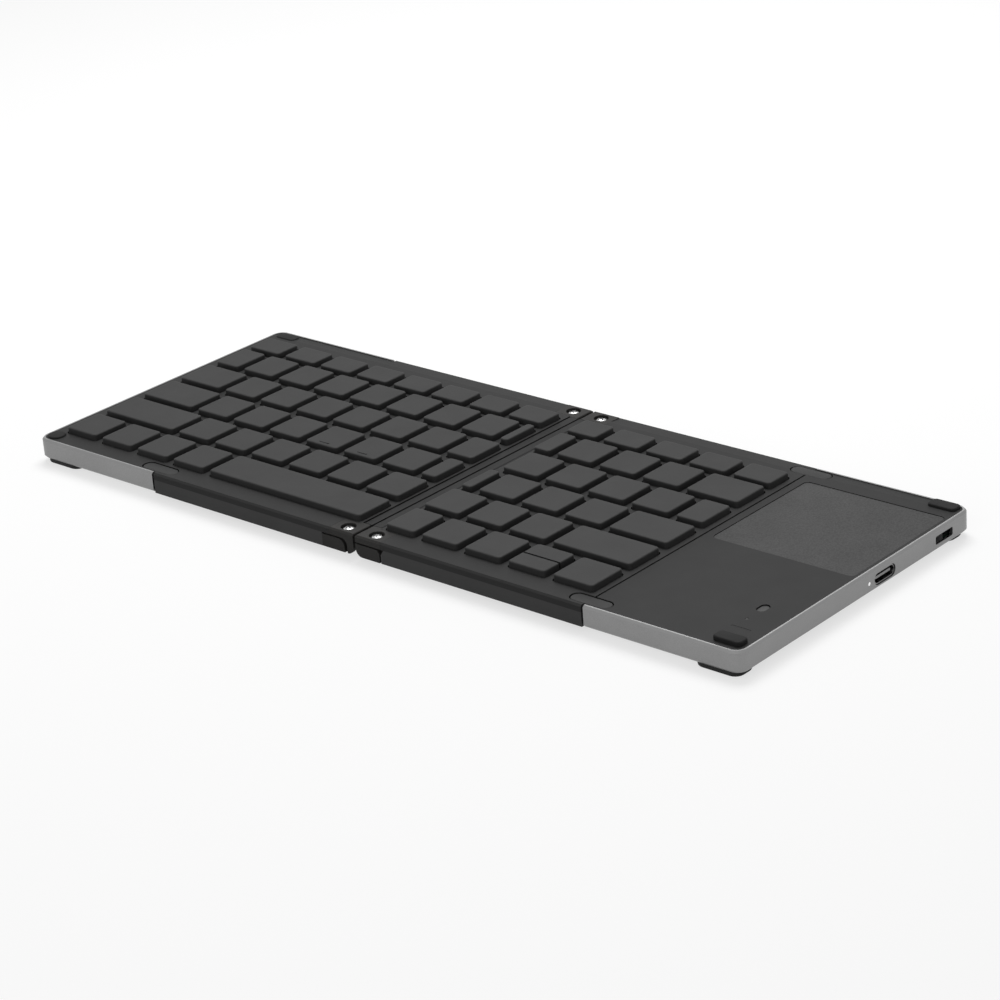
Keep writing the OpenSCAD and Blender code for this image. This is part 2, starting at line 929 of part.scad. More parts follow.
module right_key_plate() {
    color("#9b9da0")
        translate([0, 0, z_floor])
            linear_extrude(plate_t)
                layer_plan(right_layer[0], right_layer[1]);
}

module left_contact_film() {
    color("#c8d4c0")
        translate([0, 0, z_plate])
            linear_extrude(film_t)
                layer_plan(left_layer[0], left_layer[1]);
}

module right_contact_film() {
    color("#c8d4c0")
        translate([0, 0, z_plate])
            linear_extrude(film_t)
                layer_plan(right_layer[0], right_layer[1]);
}

module domes(row_set, x0, block_w) {
    for (r = [0 : 5])
        for (i = [0 : len(row_set[r][1]) - 1])
            translate([cell_x(row_set[r], i, x0, block_w) + cap_w(row_set[r], i, block_w) / 2,
                       row_y(r) + row_d(r) / 2, z_rubber - 0.05])
                cylinder(r1 = min(2.4, cap_w(row_set[r], i, block_w) / 2),
                         r2 = min(1.4, cap_w(row_set[r], i, block_w) / 2 - 0.4),
                         h = dome_h + 0.05, $fn = 24);
}

module left_dome_sheet() {
    color("#b9bcc0") {
        translate([0, 0, z_film])
            linear_extrude(rubber_t)
                layer_plan(left_layer[0], left_layer[1]);
        domes(left_rows, left_x0, left_block);
    }
}

module right_dome_sheet() {
    color("#b9bcc0") {
        translate([0, 0, z_film])
            linear_extrude(rubber_t)
                layer_plan(right_layer[0], right_layer[1]);
        domes(right_rows, right_x0, right_block);
    }
}

// ---------------------------------------------------------------- electronics

module battery() {
    color("#b4b6b9")
        translate([base_x + lap_len + 1.5, -half_d + battery_edge, z_floor + 0.05])
            linear_extrude(z_deck_low - z_floor - 0.7)
                round_rect(battery_w, body_d - 2 * battery_edge, 1.5);
}

board_t = 0.8;
board_x0 = base_x + lap_len + 22;
board_x1 = half_w - frame_wall - 0.3;
z_board = z_floor + 0.05;

module main_board() {
    color("#1f4a33")
        difference() {
            union() {
                block(board_x0, board_x1, -half_d + board_edge, half_d - board_edge, z_board,
                      z_board + board_t);
                block(board_x0 + 3, board_x0 + 9, -8, -2, z_board + board_t - eps,
                      z_board + board_t + 0.8);
                block(board_x0 + 2, board_x0 + 7, 18, 26, z_board + board_t - eps,
                      z_board + board_t + 0.7);
            }
            block(half_w - socket_l - 0.1, half_w, port_y - port_w / 2 - 0.1,
                  port_y + port_w / 2 + 0.1, 0, z_deck);
        }
}

module charging_socket() {
    r = port_h / 2;
    color("#b9babc")
        translate([half_w - socket_l, port_y, z_case + port_z])
            rotate([90, 0, 90]) {
                difference() {
                    linear_extrude(socket_l - 0.3)
                        oblong(port_w, port_h);
                    translate([0, 0, 1])
                        linear_extrude(socket_l)
                            oblong(port_w - 2 * port_wall, port_h - 2 * port_wall);
                }
                translate([0, 0, 0.5])
                    linear_extrude(socket_l - 1.3)
                        translate([-3.35, -0.35])
                            square([6.7, 0.7]);
            }
}

module charging_light() {
    color("#f4f4f0")
        translate([half_w - frame_wall - 0.6, lamp_y, z_case + port_z])
            rotate([0, 90, 0])
                cylinder(d = lamp_dia, h = frame_wall + 0.5);
}

window_x = half_w - window_end;
window_y = -half_d + window_front;

// Lens, dot and line of the status lights; grow widens them for their seats
module status_shapes(grow) {
    translate([window_x, window_y, z_deck_low - 1])
        linear_extrude(deck_t + 2)
            rotate(90)
                oblong(4.0 + 2 * grow, 2.6 + 2 * grow);
    translate([window_x + 0.2, window_y - 6.9, z_deck_low - 1])
        cylinder(d = 0.8 + 2 * grow, h = deck_t + 2, $fn = 24);
    translate([window_x + 2, window_y - 11.7, z_deck_low - 1])
        linear_extrude(deck_t + 2)
            oblong(5.8 + 2 * grow, 0.5 + 2 * grow);
}

module status_windows() {
    color("#8e9094")
        intersection() {
            status_shapes(0);
            block(0, half_w, -half_d, 0, z_deck_low, z_deck - 0.03);
        }
}

switch_body_l = 9.4;
switch_body_d = 3.6;

module power_switch() {
    x1 = half_w - frame_wall - 0.35;
    color("#202123")
        difference() {
            block(x1 - switch_body_d, x1, switch_y - switch_body_l / 2,
                  switch_y + switch_body_l / 2, z_board + board_t, z_deck_low - 0.15);
            block(x1 - 1.3, x1 + 1, switch_y - (knob_w + knob_travel) / 2 - 0.1,
                  switch_y + (knob_w + knob_travel) / 2 + 0.1,
                  z_switch - 0.55, z_switch + 0.55);
        }
}

module power_switch_knob() {
    x1 = half_w - frame_wall - 0.35;
    y0 = switch_y - (knob_w + knob_travel) / 2;
    color("#1b1c1e") {
        block(x1 - 1.2, x1 + 0.5, y0, y0 + knob_w, z_switch - 0.5, z_switch + 0.5);
        difference() {
            block(x1 + 0.4, half_w - 0.25, y0, y0 + knob_w,
                  z_switch - switch_h / 2 + 0.1, z_switch + switch_h / 2 - 0.1);
            for (i = [1 : 3])
                block(half_w - 0.4, half_w, y0 + i * knob_w / 4 - 0.15,
                      y0 + i * knob_w / 4 + 0.15, z_case, z_deck);
        }
    }
}

// ---------------------------------------------------------------- keys

// Section of a cap, size wide, from its low side
module cap_section(size) {
    polygon([
        [-cap_lean, z_cap_low], [0, z_cap_top - cap_bevel], [cap_bevel, z_cap_top],
        [size - cap_bevel, z_cap_top], [size, z_cap_top - cap_bevel],
        [size + cap_lean, z_cap_low]
    ]);
}

// Caps first to last of one row; y0 and d give the front edge and the depth
module caps(row, first, last, x0, block_w, y0, d) {
    difference() {
        intersection() {
            translate([0, 0, z_cap_low])
                linear_extrude(z_cap_top - z_cap_low)
                    for (i = [first : last])
                        translate([cell_x(row, i, x0, block_w) - cap_lean, y0 - cap_lean])
                            round_rect(cap_w(row, i, block_w) + 2 * cap_lean,
                                       d + 2 * cap_lean, cap_r);
            along_y(y0 - 1, y0 + d + 1)
                for (i = [first : last])
                    translate([cell_x(row, i, x0, block_w), 0])
                        cap_section(cap_w(row, i, block_w));
            along_x(cell_x(row, first, x0, block_w) - 1,
                    cell_x(row, last, x0, block_w) + cap_w(row, last, block_w) + 1)
                translate([y0, 0])
                    cap_section(d);
        }
        for (i = [first : last])
            block(cell_x(row, i, x0, block_w) + cap_wall,
                  cell_x(row, i, x0, block_w) + cap_w(row, i, block_w) - cap_wall,
                  y0 + cap_wall, y0 + d - cap_wall, z_cap_low - 1, z_cap_top - cap_wall);
    }
    for (i = [first : last])
        translate([cell_x(row, i, x0, block_w) + cap_w(row, i, block_w) / 2,
                   y0 + d / 2, z_plunger])
            cylinder(d = min(plunger_dia, cap_w(row, i, block_w) - 2 * cap_wall),
                     h = z_cap_top - cap_wall - z_plunger + 0.1, $fn = 24);
}

module left_caps(r, first, last) {
    color("#4b4c4e")
        caps(left_rows[r], first, last, left_x0, left_block, row_y(r), row_d(r));
}

module right_caps(r, first, last) {
    color("#4b4c4e")
        caps(right_rows[r], first, last, right_x0, right_block, row_y(r), row_d(r));
}

// The two half-depth arrow keys share one cell of the front row
split_gap = 0.9;
half_key_d = (main_cap_d - split_gap) / 2;

module half_cap(step) {
    color("#4b4c4e")
        caps(right_rows[0], split_key, split_key, right_x0, right_block,
             row_y(0) + step * (half_key_d + split_gap), half_key_d);
}

module left_back_row_keys() { left_caps(5, 0, 7); }
module left_number_row_keys() { left_caps(4, 0, 8); }
module left_upper_row_keys() { left_caps(3, 1, 7); }
module tab_key() { left_caps(3, 0, 0); }
module caps_lock_key() { left_caps(2, 0, 0); }
module left_lower_row_keys() { left_caps(1, 1, 6); }
module left_shift_key() { left_caps(1, 0, 0); }
module left_front_row_keys() { left_caps(0, 0, 3); }
module space_bar() { left_caps(0, 4, 4); }
module right_back_row_keys() { right_caps(5, 0, 4); }
module right_number_row_keys() { right_caps(4, 0, 3); }
module backspace_key() { right_caps(4, 4, 4); }
module right_upper_row_keys() { right_caps(3, 0, 4); }
module right_home_row_keys() { right_caps(2, 0, 3); }
module enter_key() { right_caps(2, 4, 4); }
module right_lower_row_keys() { right_caps(1, 0, 2); }
module right_shift_key() { right_caps(1, 3, 3); }
module arrow_up_key() { half_cap(1); }
module arrow_down_key() { half_cap(0); }

module left_home_row_keys() {
    bar_w = 3.6;
    left_caps(home_row, 1, 7);
    color("#4b4c4e")
        for (i = home_keys)
            translate([cell_x(left_rows[home_row], i, left_x0, left_block)
                       + cap_w(left_rows[home_row], i, left_block) / 2 - bar_w / 2,
                       row_y(home_row) + 1.4, z_cap_top - 0.1])
                cube([bar_w, 0.6, 0.25]);
}

module right_front_row_keys() {
    right_caps(0, 0, 2);
    right_caps(0, 4, 4);
}

left_base();
left_end_frame();
left_deck();
left_joint_cover();
left_bumpers();
left_feet();
left_hinge_brackets();
left_hinge_screws();
left_key_plate();
left_contact_film();
left_dome_sheet();
right_base();
right_end_frame();
right_deck();
touchpad_deck();
touchpad();
touchpad_board();
right_joint_covers();
right_bumpers();
right_feet();
right_hinge_brackets();
right_hinge_screws();
right_key_plate();
right_contact_film();
right_dome_sheet();
hinge_spine();
hinge_pins();
hinge_flat_cable();
battery();
main_board();
charging_socket();
charging_light();
status_windows();
power_switch();
power_switch_knob();
left_back_row_keys();
left_number_row_keys();
left_upper_row_keys();
tab_key();
left_home_row_keys();
caps_lock_key();
left_lower_row_keys();
left_shift_key();
left_front_row_keys();
space_bar();
right_back_row_keys();
right_number_row_keys();
backspace_key();
right_upper_row_keys();
right_home_row_keys();
enter_key();
right_lower_row_keys();
right_shift_key();
right_front_row_keys();
arrow_up_key();
arrow_down_key();
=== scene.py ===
"""Dresses the folding keyboard and sets up the studio that shows it."""

import json
import logging
import math
from dataclasses import dataclass, field
from enum import Enum

import bmesh
import bpy
from mathutils import Matrix, Vector


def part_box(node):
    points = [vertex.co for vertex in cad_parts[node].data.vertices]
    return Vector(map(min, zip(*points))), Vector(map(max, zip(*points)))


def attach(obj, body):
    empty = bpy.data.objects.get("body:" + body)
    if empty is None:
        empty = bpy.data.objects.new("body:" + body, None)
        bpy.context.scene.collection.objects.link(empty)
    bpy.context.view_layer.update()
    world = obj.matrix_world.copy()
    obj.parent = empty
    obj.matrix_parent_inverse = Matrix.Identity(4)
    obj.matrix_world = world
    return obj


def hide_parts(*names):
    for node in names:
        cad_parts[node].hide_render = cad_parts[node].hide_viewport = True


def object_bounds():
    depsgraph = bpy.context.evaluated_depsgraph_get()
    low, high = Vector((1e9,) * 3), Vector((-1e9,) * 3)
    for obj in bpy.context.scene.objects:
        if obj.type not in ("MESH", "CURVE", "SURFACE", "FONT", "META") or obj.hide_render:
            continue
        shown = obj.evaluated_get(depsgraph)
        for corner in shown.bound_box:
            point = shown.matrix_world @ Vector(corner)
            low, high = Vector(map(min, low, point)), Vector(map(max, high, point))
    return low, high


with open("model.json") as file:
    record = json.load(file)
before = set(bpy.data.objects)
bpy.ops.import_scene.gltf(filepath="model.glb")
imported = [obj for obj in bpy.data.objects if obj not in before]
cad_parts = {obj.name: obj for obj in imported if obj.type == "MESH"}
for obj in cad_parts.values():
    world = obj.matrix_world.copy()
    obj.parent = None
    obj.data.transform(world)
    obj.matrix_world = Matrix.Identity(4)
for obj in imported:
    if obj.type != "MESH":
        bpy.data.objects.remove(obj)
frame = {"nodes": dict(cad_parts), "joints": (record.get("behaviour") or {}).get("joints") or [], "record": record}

CAD_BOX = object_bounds()
MM = 0.001
MERGE_WITHIN = 0.002 * MM
ROUND_WITHIN = 0.1 * MM
LOG = logging.getLogger("keyboard")

Point = tuple[float, float]
Triple = tuple[float, float, float]
Piece = bpy.types.Object
Mesh = bpy.types.Mesh
Node = bpy.types.Node
Tree = bpy.types.NodeTree
Socket = bpy.types.NodeSocket
Sockets = bpy.types.NodeOutputs
UNIT: Point = (0.0, 1.0)
WHITE = (1.0, 1.0, 1.0, 1.0)


class Slot(Enum):
    """The record's material slots."""

    CASE = "case_plastic"
    FRAME = "frame_aluminium"
    DECK = "deck_plastic"
    COVER = "cover_plastic"
    BUMPER = "bumper_rubber"
    FOOT = "foot_rubber"
    BRACKET = "bracket_metal"
    SCREW = "screw_steel"
    PLATE = "plate_steel"
    FILM = "film_plastic"
    DOME = "dome_rubber"
    TOUCHPAD = "touchpad_plastic"
    BOARD = "circuit_board"
    SPINE = "spine_metal"
    PIN = "pin_steel"
    CABLE = "cable_film"
    BATTERY = "battery_foil"
    SOCKET = "socket_steel"
    LAMP = "lamp_lens"
    WINDOW = "window_plastic"
    SWITCH = "switch_plastic"
    KNOB = "knob_plastic"
    KEY = "key_plastic"


class NodeBoard:
    """Places nodes in one tree and wires them up."""

    def __init__(self, tree: Tree) -> None:
        """Keeps the tree that the nodes go into."""
        self.tree = tree

    @classmethod
    def cleared(cls, owner: bpy.types.Material | bpy.types.World) -> "NodeBoard":
        """Returns the emptied board of a material or a world."""
        owner.use_nodes = True
        owner.node_tree.nodes.clear()
        return cls(owner.node_tree)

    def add(self, kind: str, inputs: dict[str | int, object] | None = None,
            **settings: object) -> Node:
        """Adds one node.

        Args:
            kind: Blender's name for the node type.
            inputs: Values or sockets for its inputs, by name or number.
            settings: Values for the node's own properties.

        Returns:
            The new node.
        """
        node = self.tree.nodes.new(kind)
        for name, value in settings.items():
            setattr(node, name, value)
        for key, value in (inputs or {}).items():
            self.feed(node.inputs[key], value)
        return node

    def feed(self, socket: Socket, value: object) -> None:
        """Links a socket to the input, or stores a plain value in it."""
        if isinstance(value, Socket):
            self.tree.links.new(value, socket)
        else:
            socket.default_value = value

    def maths(self, operation: str, first: object, second: object = 0.0) -> Socket:
        """Adds a Math node and returns its result."""
        return self.out("ShaderNodeMath", {0: first, 1: second}, operation=operation)

    def remap(self, value: object, source: Point, target: Point) -> Socket:
        """Maps a value from one range to another, clamped."""
        return self.out("ShaderNodeMapRange", {
            "Value": value, 1: source[0], 2: source[1], 3: target[0], 4: target[1]})

    def out(self, kind: str, inputs: dict[str | int, object] | None = None,
            **settings: object) -> Socket:
        """Adds one node and returns its first output."""
        return self.add(kind, inputs, **settings).outputs[0]

    def geometry(self, kind: str, source: object, inputs: dict[str, object] | None = None,
                 **settings: object) -> Socket:
        """Adds a geometry node on what goes into its first input."""
        return self.out("GeometryNode" + kind, {0: source, **(inputs or {})}, **settings)

    def model(self, holder: Socket) -> Socket:
        """Returns the geometry of an object."""
        return self.add("GeometryNodeObjectInfo", {"Object": holder}).outputs["Geometry"]

    def vector(self, **parts: object) -> Socket:
        """Puts a vector together from its X, Y and Z."""
        return self.out("ShaderNodeCombineXYZ", parts)

    def joined(self, *parts: Socket) -> Socket:
        """Joins several geometries into one."""
        node = self.add("GeometryNodeJoinGeometry")
        for part in parts:
            self.tree.links.new(part, node.inputs[0])
        return node.outputs[0]

    def scale_of(self, size: Socket) -> Socket:
        """Turns a size in metres into the scale of a texture."""
        return self.maths("DIVIDE", 1.0, size)

    def own_place(self) -> Socket:
        """Returns the coordinates in the piece's own frame."""
        return self.add("ShaderNodeTexCoord").outputs["Object"]

    def noise(self, scale: object, detail: float, roughness: float = 0.5) -> Node:
        """Adds noise in the piece's own coordinates."""
        return self.add("ShaderNodeTexNoise", {
            "Vector": self.own_place(), "Scale": scale, "Detail": detail,
            "Roughness": roughness})


# ---- surface effects


class SurfaceEffects:
    """Shader node groups that several finishes share, each built once."""

    grain_sockets = ("Grain Size",), ("Height", "Fleck")
    sockets: dict[str, tuple[tuple[str, ...], tuple[str, ...]]] = {
        "moulded_grain": grain_sockets,
        "pebbled_grain": grain_sockets,
        "colour_drift": (("Colour", "Drift", "Patch Size", "Fleck", "Fleck Share"),
                         ("Colour",)),
        "edge_wear_and_painted_light": (("Colour", "Worn And Painted Light", "Amount"), ("Colour", "Mask")),
        "handling": (("Matt", "Touched", "Patch Size", "Rub"), ("Roughness",))}
    colours: tuple[str, ...] = ("Colour", "Worn And Painted Light")
    fleck_span: Point = (0.35, 0.65)
    pebble_shift: float = 0.4 * MM
    pebble_blend: float = 0.4
    pebble_span: Point = (0.05, 0.75)
    drift_span: Point = (0.3, 0.7)
    bevel_span: Point = (0.05, 0.2)
    wear_scale: float = 160.0
    wear_span: Point = (0.3, 0.6)
    least_wear: float = 0.6
    smear_span: Point = (0.35, 0.7)

    def __init__(self) -> None:
        """Starts with no group built."""
        self.built: dict[str, Tree] = {}

    def group(self, name: str) -> Tree:
        """Returns the named group, building it the first time."""
        if name not in self.built:
            tree = bpy.data.node_groups.new(name, "ShaderNodeTree")
            for in_out, labels in zip(("INPUT", "OUTPUT"), self.sockets[name]):
                for label in labels:
                    kind = "Color" if label in self.colours else "Float"
                    tree.interface.new_socket(
                        label, in_out=in_out, socket_type="NodeSocket" + kind)
            board = NodeBoard(tree)
            given = board.add("NodeGroupInput").outputs
            made = getattr(self, "_" + name)(board, given)
            board.add("NodeGroupOutput", dict(zip(self.sockets[name][1], made)))
            self.built[name] = tree
        return self.built[name]

    def _moulded_grain(self, board: NodeBoard, given: Sockets) -> tuple[Socket, Socket]:
        """Fine spark-eroded grain of a moulding or a blasted metal."""
        fine = board.noise(board.scale_of(given["Grain Size"]), 2.0).outputs["Fac"]
        return fine, board.remap(fine, self.fleck_span, UNIT)

    def _pebbled_grain(self, board: NodeBoard, given: Sockets) -> tuple[Socket, Socket]:
        """Leathery pebbles of the touchpad's sheet."""
        scale = board.scale_of(given["Grain Size"])
        bend = board.noise(scale, 1.0).outputs["Color"]
        shift = board.out("ShaderNodeVectorMath", {0: bend, "Scale": self.pebble_shift},
                          operation="SCALE")
        moved = board.out("ShaderNodeVectorMath", {0: board.own_place(), 1: shift},
                          operation="ADD")
        cells = board.add("ShaderNodeTexVoronoi", {
            "Vector": moved, "Scale": scale, "Smoothness": self.pebble_blend},
            feature="SMOOTH_F1")
        dome = board.remap(cells.outputs["Distance"], self.pebble_span, (1.0, 0.0))
        return dome, dome

    def _colour_drift(self, board: NodeBoard, given: Sockets) -> tuple[Socket]:
        """Slow, slight change of shade over a surface, with the grain's flecks on it."""
        patch = board.noise(board.scale_of(given["Patch Size"]), 3.0)
        swing = board.remap(patch.outputs["Fac"], self.drift_span, (-1.0, 1.0))
        slow = board.maths("MULTIPLY", swing, given["Drift"])
        fleck = board.maths("MULTIPLY", board.maths("SUBTRACT", given["Fleck"], 0.5),
                            given["Fleck Share"])
        gain = board.maths("ADD", 1.0, board.maths("ADD", slow, fleck))
        return (board.out("ShaderNodeVectorMath", {0: given["Colour"], "Scale": gain},
                          operation="SCALE"),)

    def _edge_wear_and_painted_light(self, board: NodeBoard, given: Sockets) -> tuple[Socket, Socket]:
        """Colour and mask of rounded edges and bevels, where hands rub them and where colour is painted along
        them: a painted highlight where the edge colour is lighter than the body, painted shade where it is darker.
        """
        normal = board.add("ShaderNodeTexCoord").outputs["Normal"]
        lean = board.add("ShaderNodeSeparateXYZ", {0: normal}).outputs["Z"]
        square = board.maths("MULTIPLY", lean, lean)
        bevel = board.maths("MULTIPLY", board.maths("SUBTRACT", 1.0, square), square)
        window = board.remap(bevel, self.bevel_span, UNIT)
        patch = board.noise(self.wear_scale, 2.0).outputs["Fac"]
        # Bevels, patchy like wear, take the edge colour: painted light along every edge, which is a painted
        # highlight where that colour is the lighter one.
        wear_and_light_mask = board.maths("MULTIPLY", window,
                           board.remap(patch, self.wear_span, (self.least_wear, 1.0)))
        mask = board.maths("MULTIPLY", wear_and_light_mask, given["Amount"])
        blend = board.add("ShaderNodeMix", {
            0: mask, 6: given["Colour"], 7: given["Worn And Painted Light"]}, data_type="RGBA")
        return blend.outputs[2], mask

    def _handling(self, board: NodeBoard, given: Sockets) -> tuple[Socket]:
        """Roughness that drifts between its matt and its touched value."""
        patch = board.noise(board.scale_of(given["Patch Size"]), 4.0, 0.6)
        smear = board.remap(patch.outputs["Fac"], self.smear_span, UNIT)
        share = board.maths("MAXIMUM", smear, given["Rub"])
        return (board.out("ShaderNodeMix", {
            0: share, 2: given["Matt"], 3: given["Touched"]}, data_type="FLOAT"),)


class Grain(Enum):
    """The grain that a finish takes."""

    MOULDED = "moulded_grain"
    PEBBLED = "pebbled_grain"


@dataclass(frozen=True)
class Finish:
    """One finish of the keyboard."""

    colour: Triple
    # Edge colour on bevels: rubbed wear and painted light, a painted highlight where it is lighter than the colour
    # above and painted shade where it is darker.
    worn_and_painted_light: Triple
    matt: float = 0.6
    touched: float = 0.5
    metallic: float = 0.0
    specular: float = 0.5
    grain: Grain = Grain.MOULDED
    grain_size: float = 0.12 * MM
    relief: float = 0.004 * MM
    wear_and_painted_light: float = 0.5
    drift: float = 0.05
    fleck: float = 0.06
    patch: float = 22 * MM
    glow: float = 0.0

    def material(self, name: str, effects: SurfaceEffects) -> bpy.types.Material:
        """Builds the finish as a named material, out of the shared node groups."""
        made = bpy.data.materials.new(name)
        board = NodeBoard.cleared(made)

        def effect(label: str, inputs: dict[str, object]) -> Sockets:
            """Adds one shared group and returns its outputs."""
            return board.add("ShaderNodeGroup", inputs, node_tree=effects.group(label)).outputs

        grain = effect(self.grain.value, {"Grain Size": self.grain_size})
        drift = effect("colour_drift", {
            "Colour": (*self.colour, 1.0), "Drift": self.drift, "Patch Size": self.patch,
            "Fleck": grain["Fleck"], "Fleck Share": self.fleck})
        # Bevels take the edge colour: rubbed wear with a painted highlight on most finishes.
        edge = effect("edge_wear_and_painted_light", {"Colour": drift["Colour"], "Worn And Painted Light": (*self.worn_and_painted_light, 1.0),
                                   "Amount": self.wear_and_painted_light})
        touch = effect("handling", {"Matt": self.matt, "Touched": self.touched,
                                    "Patch Size": self.patch / 2, "Rub": edge["Mask"]})
        bump = board.add("ShaderNodeBump", {
            "Strength": 1.0, "Distance": self.relief, "Height": grain["Height"]})
        body = board.add("ShaderNodeBsdfPrincipled", {
            "Base Color": edge["Colour"], "Roughness": touch["Roughness"],
            "Metallic": self.metallic, "Specular IOR Level": self.specular,
            "Normal": bump.outputs["Normal"]})
        if self.glow:
            board.feed(body.inputs["Emission Color"], WHITE)
            board.feed(body.inputs["Emission Strength"], self.glow)
        board.add("ShaderNodeOutputMaterial", {"Surface": body.outputs[0]})
        return made


def grey(level: float, warm: float = 0.0) -> Triple:
    """Returns a linear grey, a little warmer or cooler than neutral."""
    return (level * (1 + warm), level, level * (1 - warm))


FINISHES: dict[Slot, Finish] = {
    Slot.CASE: Finish(grey(0.03), grey(0.04), matt=0.62, touched=0.56, specular=0.3),
    # The frame's bevel colour is a little darker than its body: painted shade that tones down the chamfer's
    # highlight.
    Slot.FRAME: Finish(grey(0.245), grey(0.22), matt=0.42, touched=0.37, metallic=1.0,
                       grain_size=0.09 * MM, relief=0.006 * MM, wear_and_painted_light=0.8, drift=0.03,
                       fleck=0.2),
    Slot.DECK: Finish(grey(0.021), grey(0.034), matt=0.62, touched=0.59, specular=0.14,
                      wear_and_painted_light=0.8, drift=0.02),
    Slot.COVER: Finish(grey(0.04), grey(0.06), matt=0.55, touched=0.48, specular=0.12),
    Slot.BUMPER: Finish(grey(0.011), grey(0.016), matt=0.7, touched=0.64, specular=0.14),
    Slot.FOOT: Finish(grey(0.012), grey(0.02), matt=0.75, touched=0.66, specular=0.3),
    Slot.BRACKET: Finish(grey(0.024, 0.04), grey(0.036, 0.04), touched=0.54,
                         specular=0.14),
    Slot.SCREW: Finish(grey(0.46), grey(0.6), matt=0.3, touched=0.22, metallic=1.0,
                       grain_size=0.3 * MM, relief=0.006 * MM, fleck=0.5),
    Slot.PLATE: Finish(grey(0.4), grey(0.55), matt=0.4, touched=0.32, metallic=1.0),
    Slot.FILM: Finish((0.5, 0.56, 0.46), (0.55, 0.6, 0.5), matt=0.3, touched=0.24),
    Slot.DOME: Finish(grey(0.4), grey(0.45)),
    Slot.TOUCHPAD: Finish(grey(0.036), grey(0.055), matt=0.56, specular=0.2,
                          grain=Grain.PEBBLED, grain_size=0.55 * MM, relief=0.035 * MM,
                          fleck=0.6, drift=0.02),
    Slot.BOARD: Finish((0.004, 0.02, 0.01), (0.01, 0.03, 0.02), matt=0.55, touched=0.45,
                       specular=0.2),
    # The spine's grey, darker than the deck, is partly its own dark paint and partly painted shade for the gap
    # between the halves.
    Slot.SPINE: Finish(grey(0.016), grey(0.026), touched=0.54, specular=0.12),
    Slot.PIN: Finish(grey(0.6), grey(0.7), matt=0.25, touched=0.2, metallic=1.0),
    Slot.CABLE: Finish((0.4, 0.15, 0.03), (0.45, 0.2, 0.05), matt=0.35, touched=0.3),
    Slot.BATTERY: Finish(grey(0.45), grey(0.55), matt=0.35, touched=0.28, metallic=0.8),
    # The socket's bevel colour is three times lighter than its body: a painted highlight along the rim of its
    # shell.
    Slot.SOCKET: Finish(grey(0.2), grey(0.6), matt=0.34, touched=0.26, metallic=1.0,
                        relief=0.001 * MM, wear_and_painted_light=1.0),
    Slot.LAMP: Finish(grey(0.7), grey(0.8), matt=0.3, touched=0.25, glow=0.6, drift=0.01),
    Slot.WINDOW: Finish(grey(0.042), grey(0.055), matt=0.4, touched=0.36, specular=0.2,
                        drift=0.02),
    Slot.SWITCH: Finish(grey(0.006), grey(0.012), matt=0.5, touched=0.44, specular=0.1),
    # The black knob's bevels take a pale grey: a painted highlight along its edges, standing in for the floor's
    # reflection.
    Slot.KNOB: Finish(grey(0.004), grey(0.2), matt=0.36, touched=0.3, specular=0.06, wear_and_painted_light=1.0),
    Slot.KEY: Finish(grey(0.029), grey(0.04), matt=0.56, touched=0.52, specular=0.14,
                     grain_size=0.1 * MM, drift=0.03),
}


# ---- mesh making


@dataclass(frozen=True)
class Box:
    """Lowest and highest corner of one solid."""

    low: Vector
    high: Vector

    @property
    def centre(self) -> Vector:
        """Middle of the box."""
        return (self.low + self.high) / 2

    @property
    def narrow(self) -> float:
        """Shorter side of the box, seen from above."""
        return min((self.high - self.low).xy)

    @property
    def is_round(self) -> bool:
        """Whether the box is as wide as it is deep, seen from above."""
        return max((self.high - self.low).xy) - self.narrow < ROUND_WITHIN


def box_of(node: str) -> Box:
    """Returns the box of a whole CAD node."""
    low, high = (Vector(corner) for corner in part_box(node))
    return Box(low, high)


def solids_of(node: str) -> list[Box]:
    """Returns the box of each separate solid in a CAD node, from left to right."""
    work = bmesh.new()
    work.from_mesh(frame["nodes"][node].data)
    bmesh.ops.remove_doubles(work, verts=work.verts, dist=MERGE_WITHIN)
    left = set(work.verts)
    boxes = []
    while left:
        queue = [left.pop()]
        group = []
        while queue:
            vert = queue.pop()
            group.append(vert.co.copy())
            reached = {edge.other_vert(vert) for edge in vert.link_edges} & left
            left -= reached
            queue += reached
        boxes.append(Box(*(Vector(pick(axis) for axis in zip(*group)) for pick in (min, max))))
    work.free()
    return sorted(boxes, key=lambda box: (box.low.x, box.low.y))


def show(name: str, data: bpy.types.ID) -> Piece:
    """Puts a new object with the given data in the scene."""
    made = bpy.data.objects.new(name, data)
    bpy.context.scene.collection.objects.link(made)
    return made


def mesh_from(work: bmesh.types.BMesh, name: str) -> Mesh:
    """Turns a finished bmesh into a mesh of its own."""
    mesh = bpy.data.meshes.new(name)
    work.to_mesh(mesh)
    work.free()
    return mesh


def add_block(work: bmesh.types.BMesh, low: Vector, high: Vector) -> None:
    """Adds one block between two corners."""
    place = Matrix.Translation((low + high) / 2) @ Matrix.Diagonal((*(high - low), 1.0))
    bmesh.ops.create_cube(work, size=1.0, matrix=place)


def bake(piece: Piece) -> None:
    """Turns what a piece's modifiers make into its plain mesh."""
    graph = bpy.context.evaluated_depsgraph_get()
    mesh = bpy.data.meshes.new_from_object(piece.evaluated_get(graph), depsgraph=graph)
    piece.modifiers.clear()
    piece.data = mesh


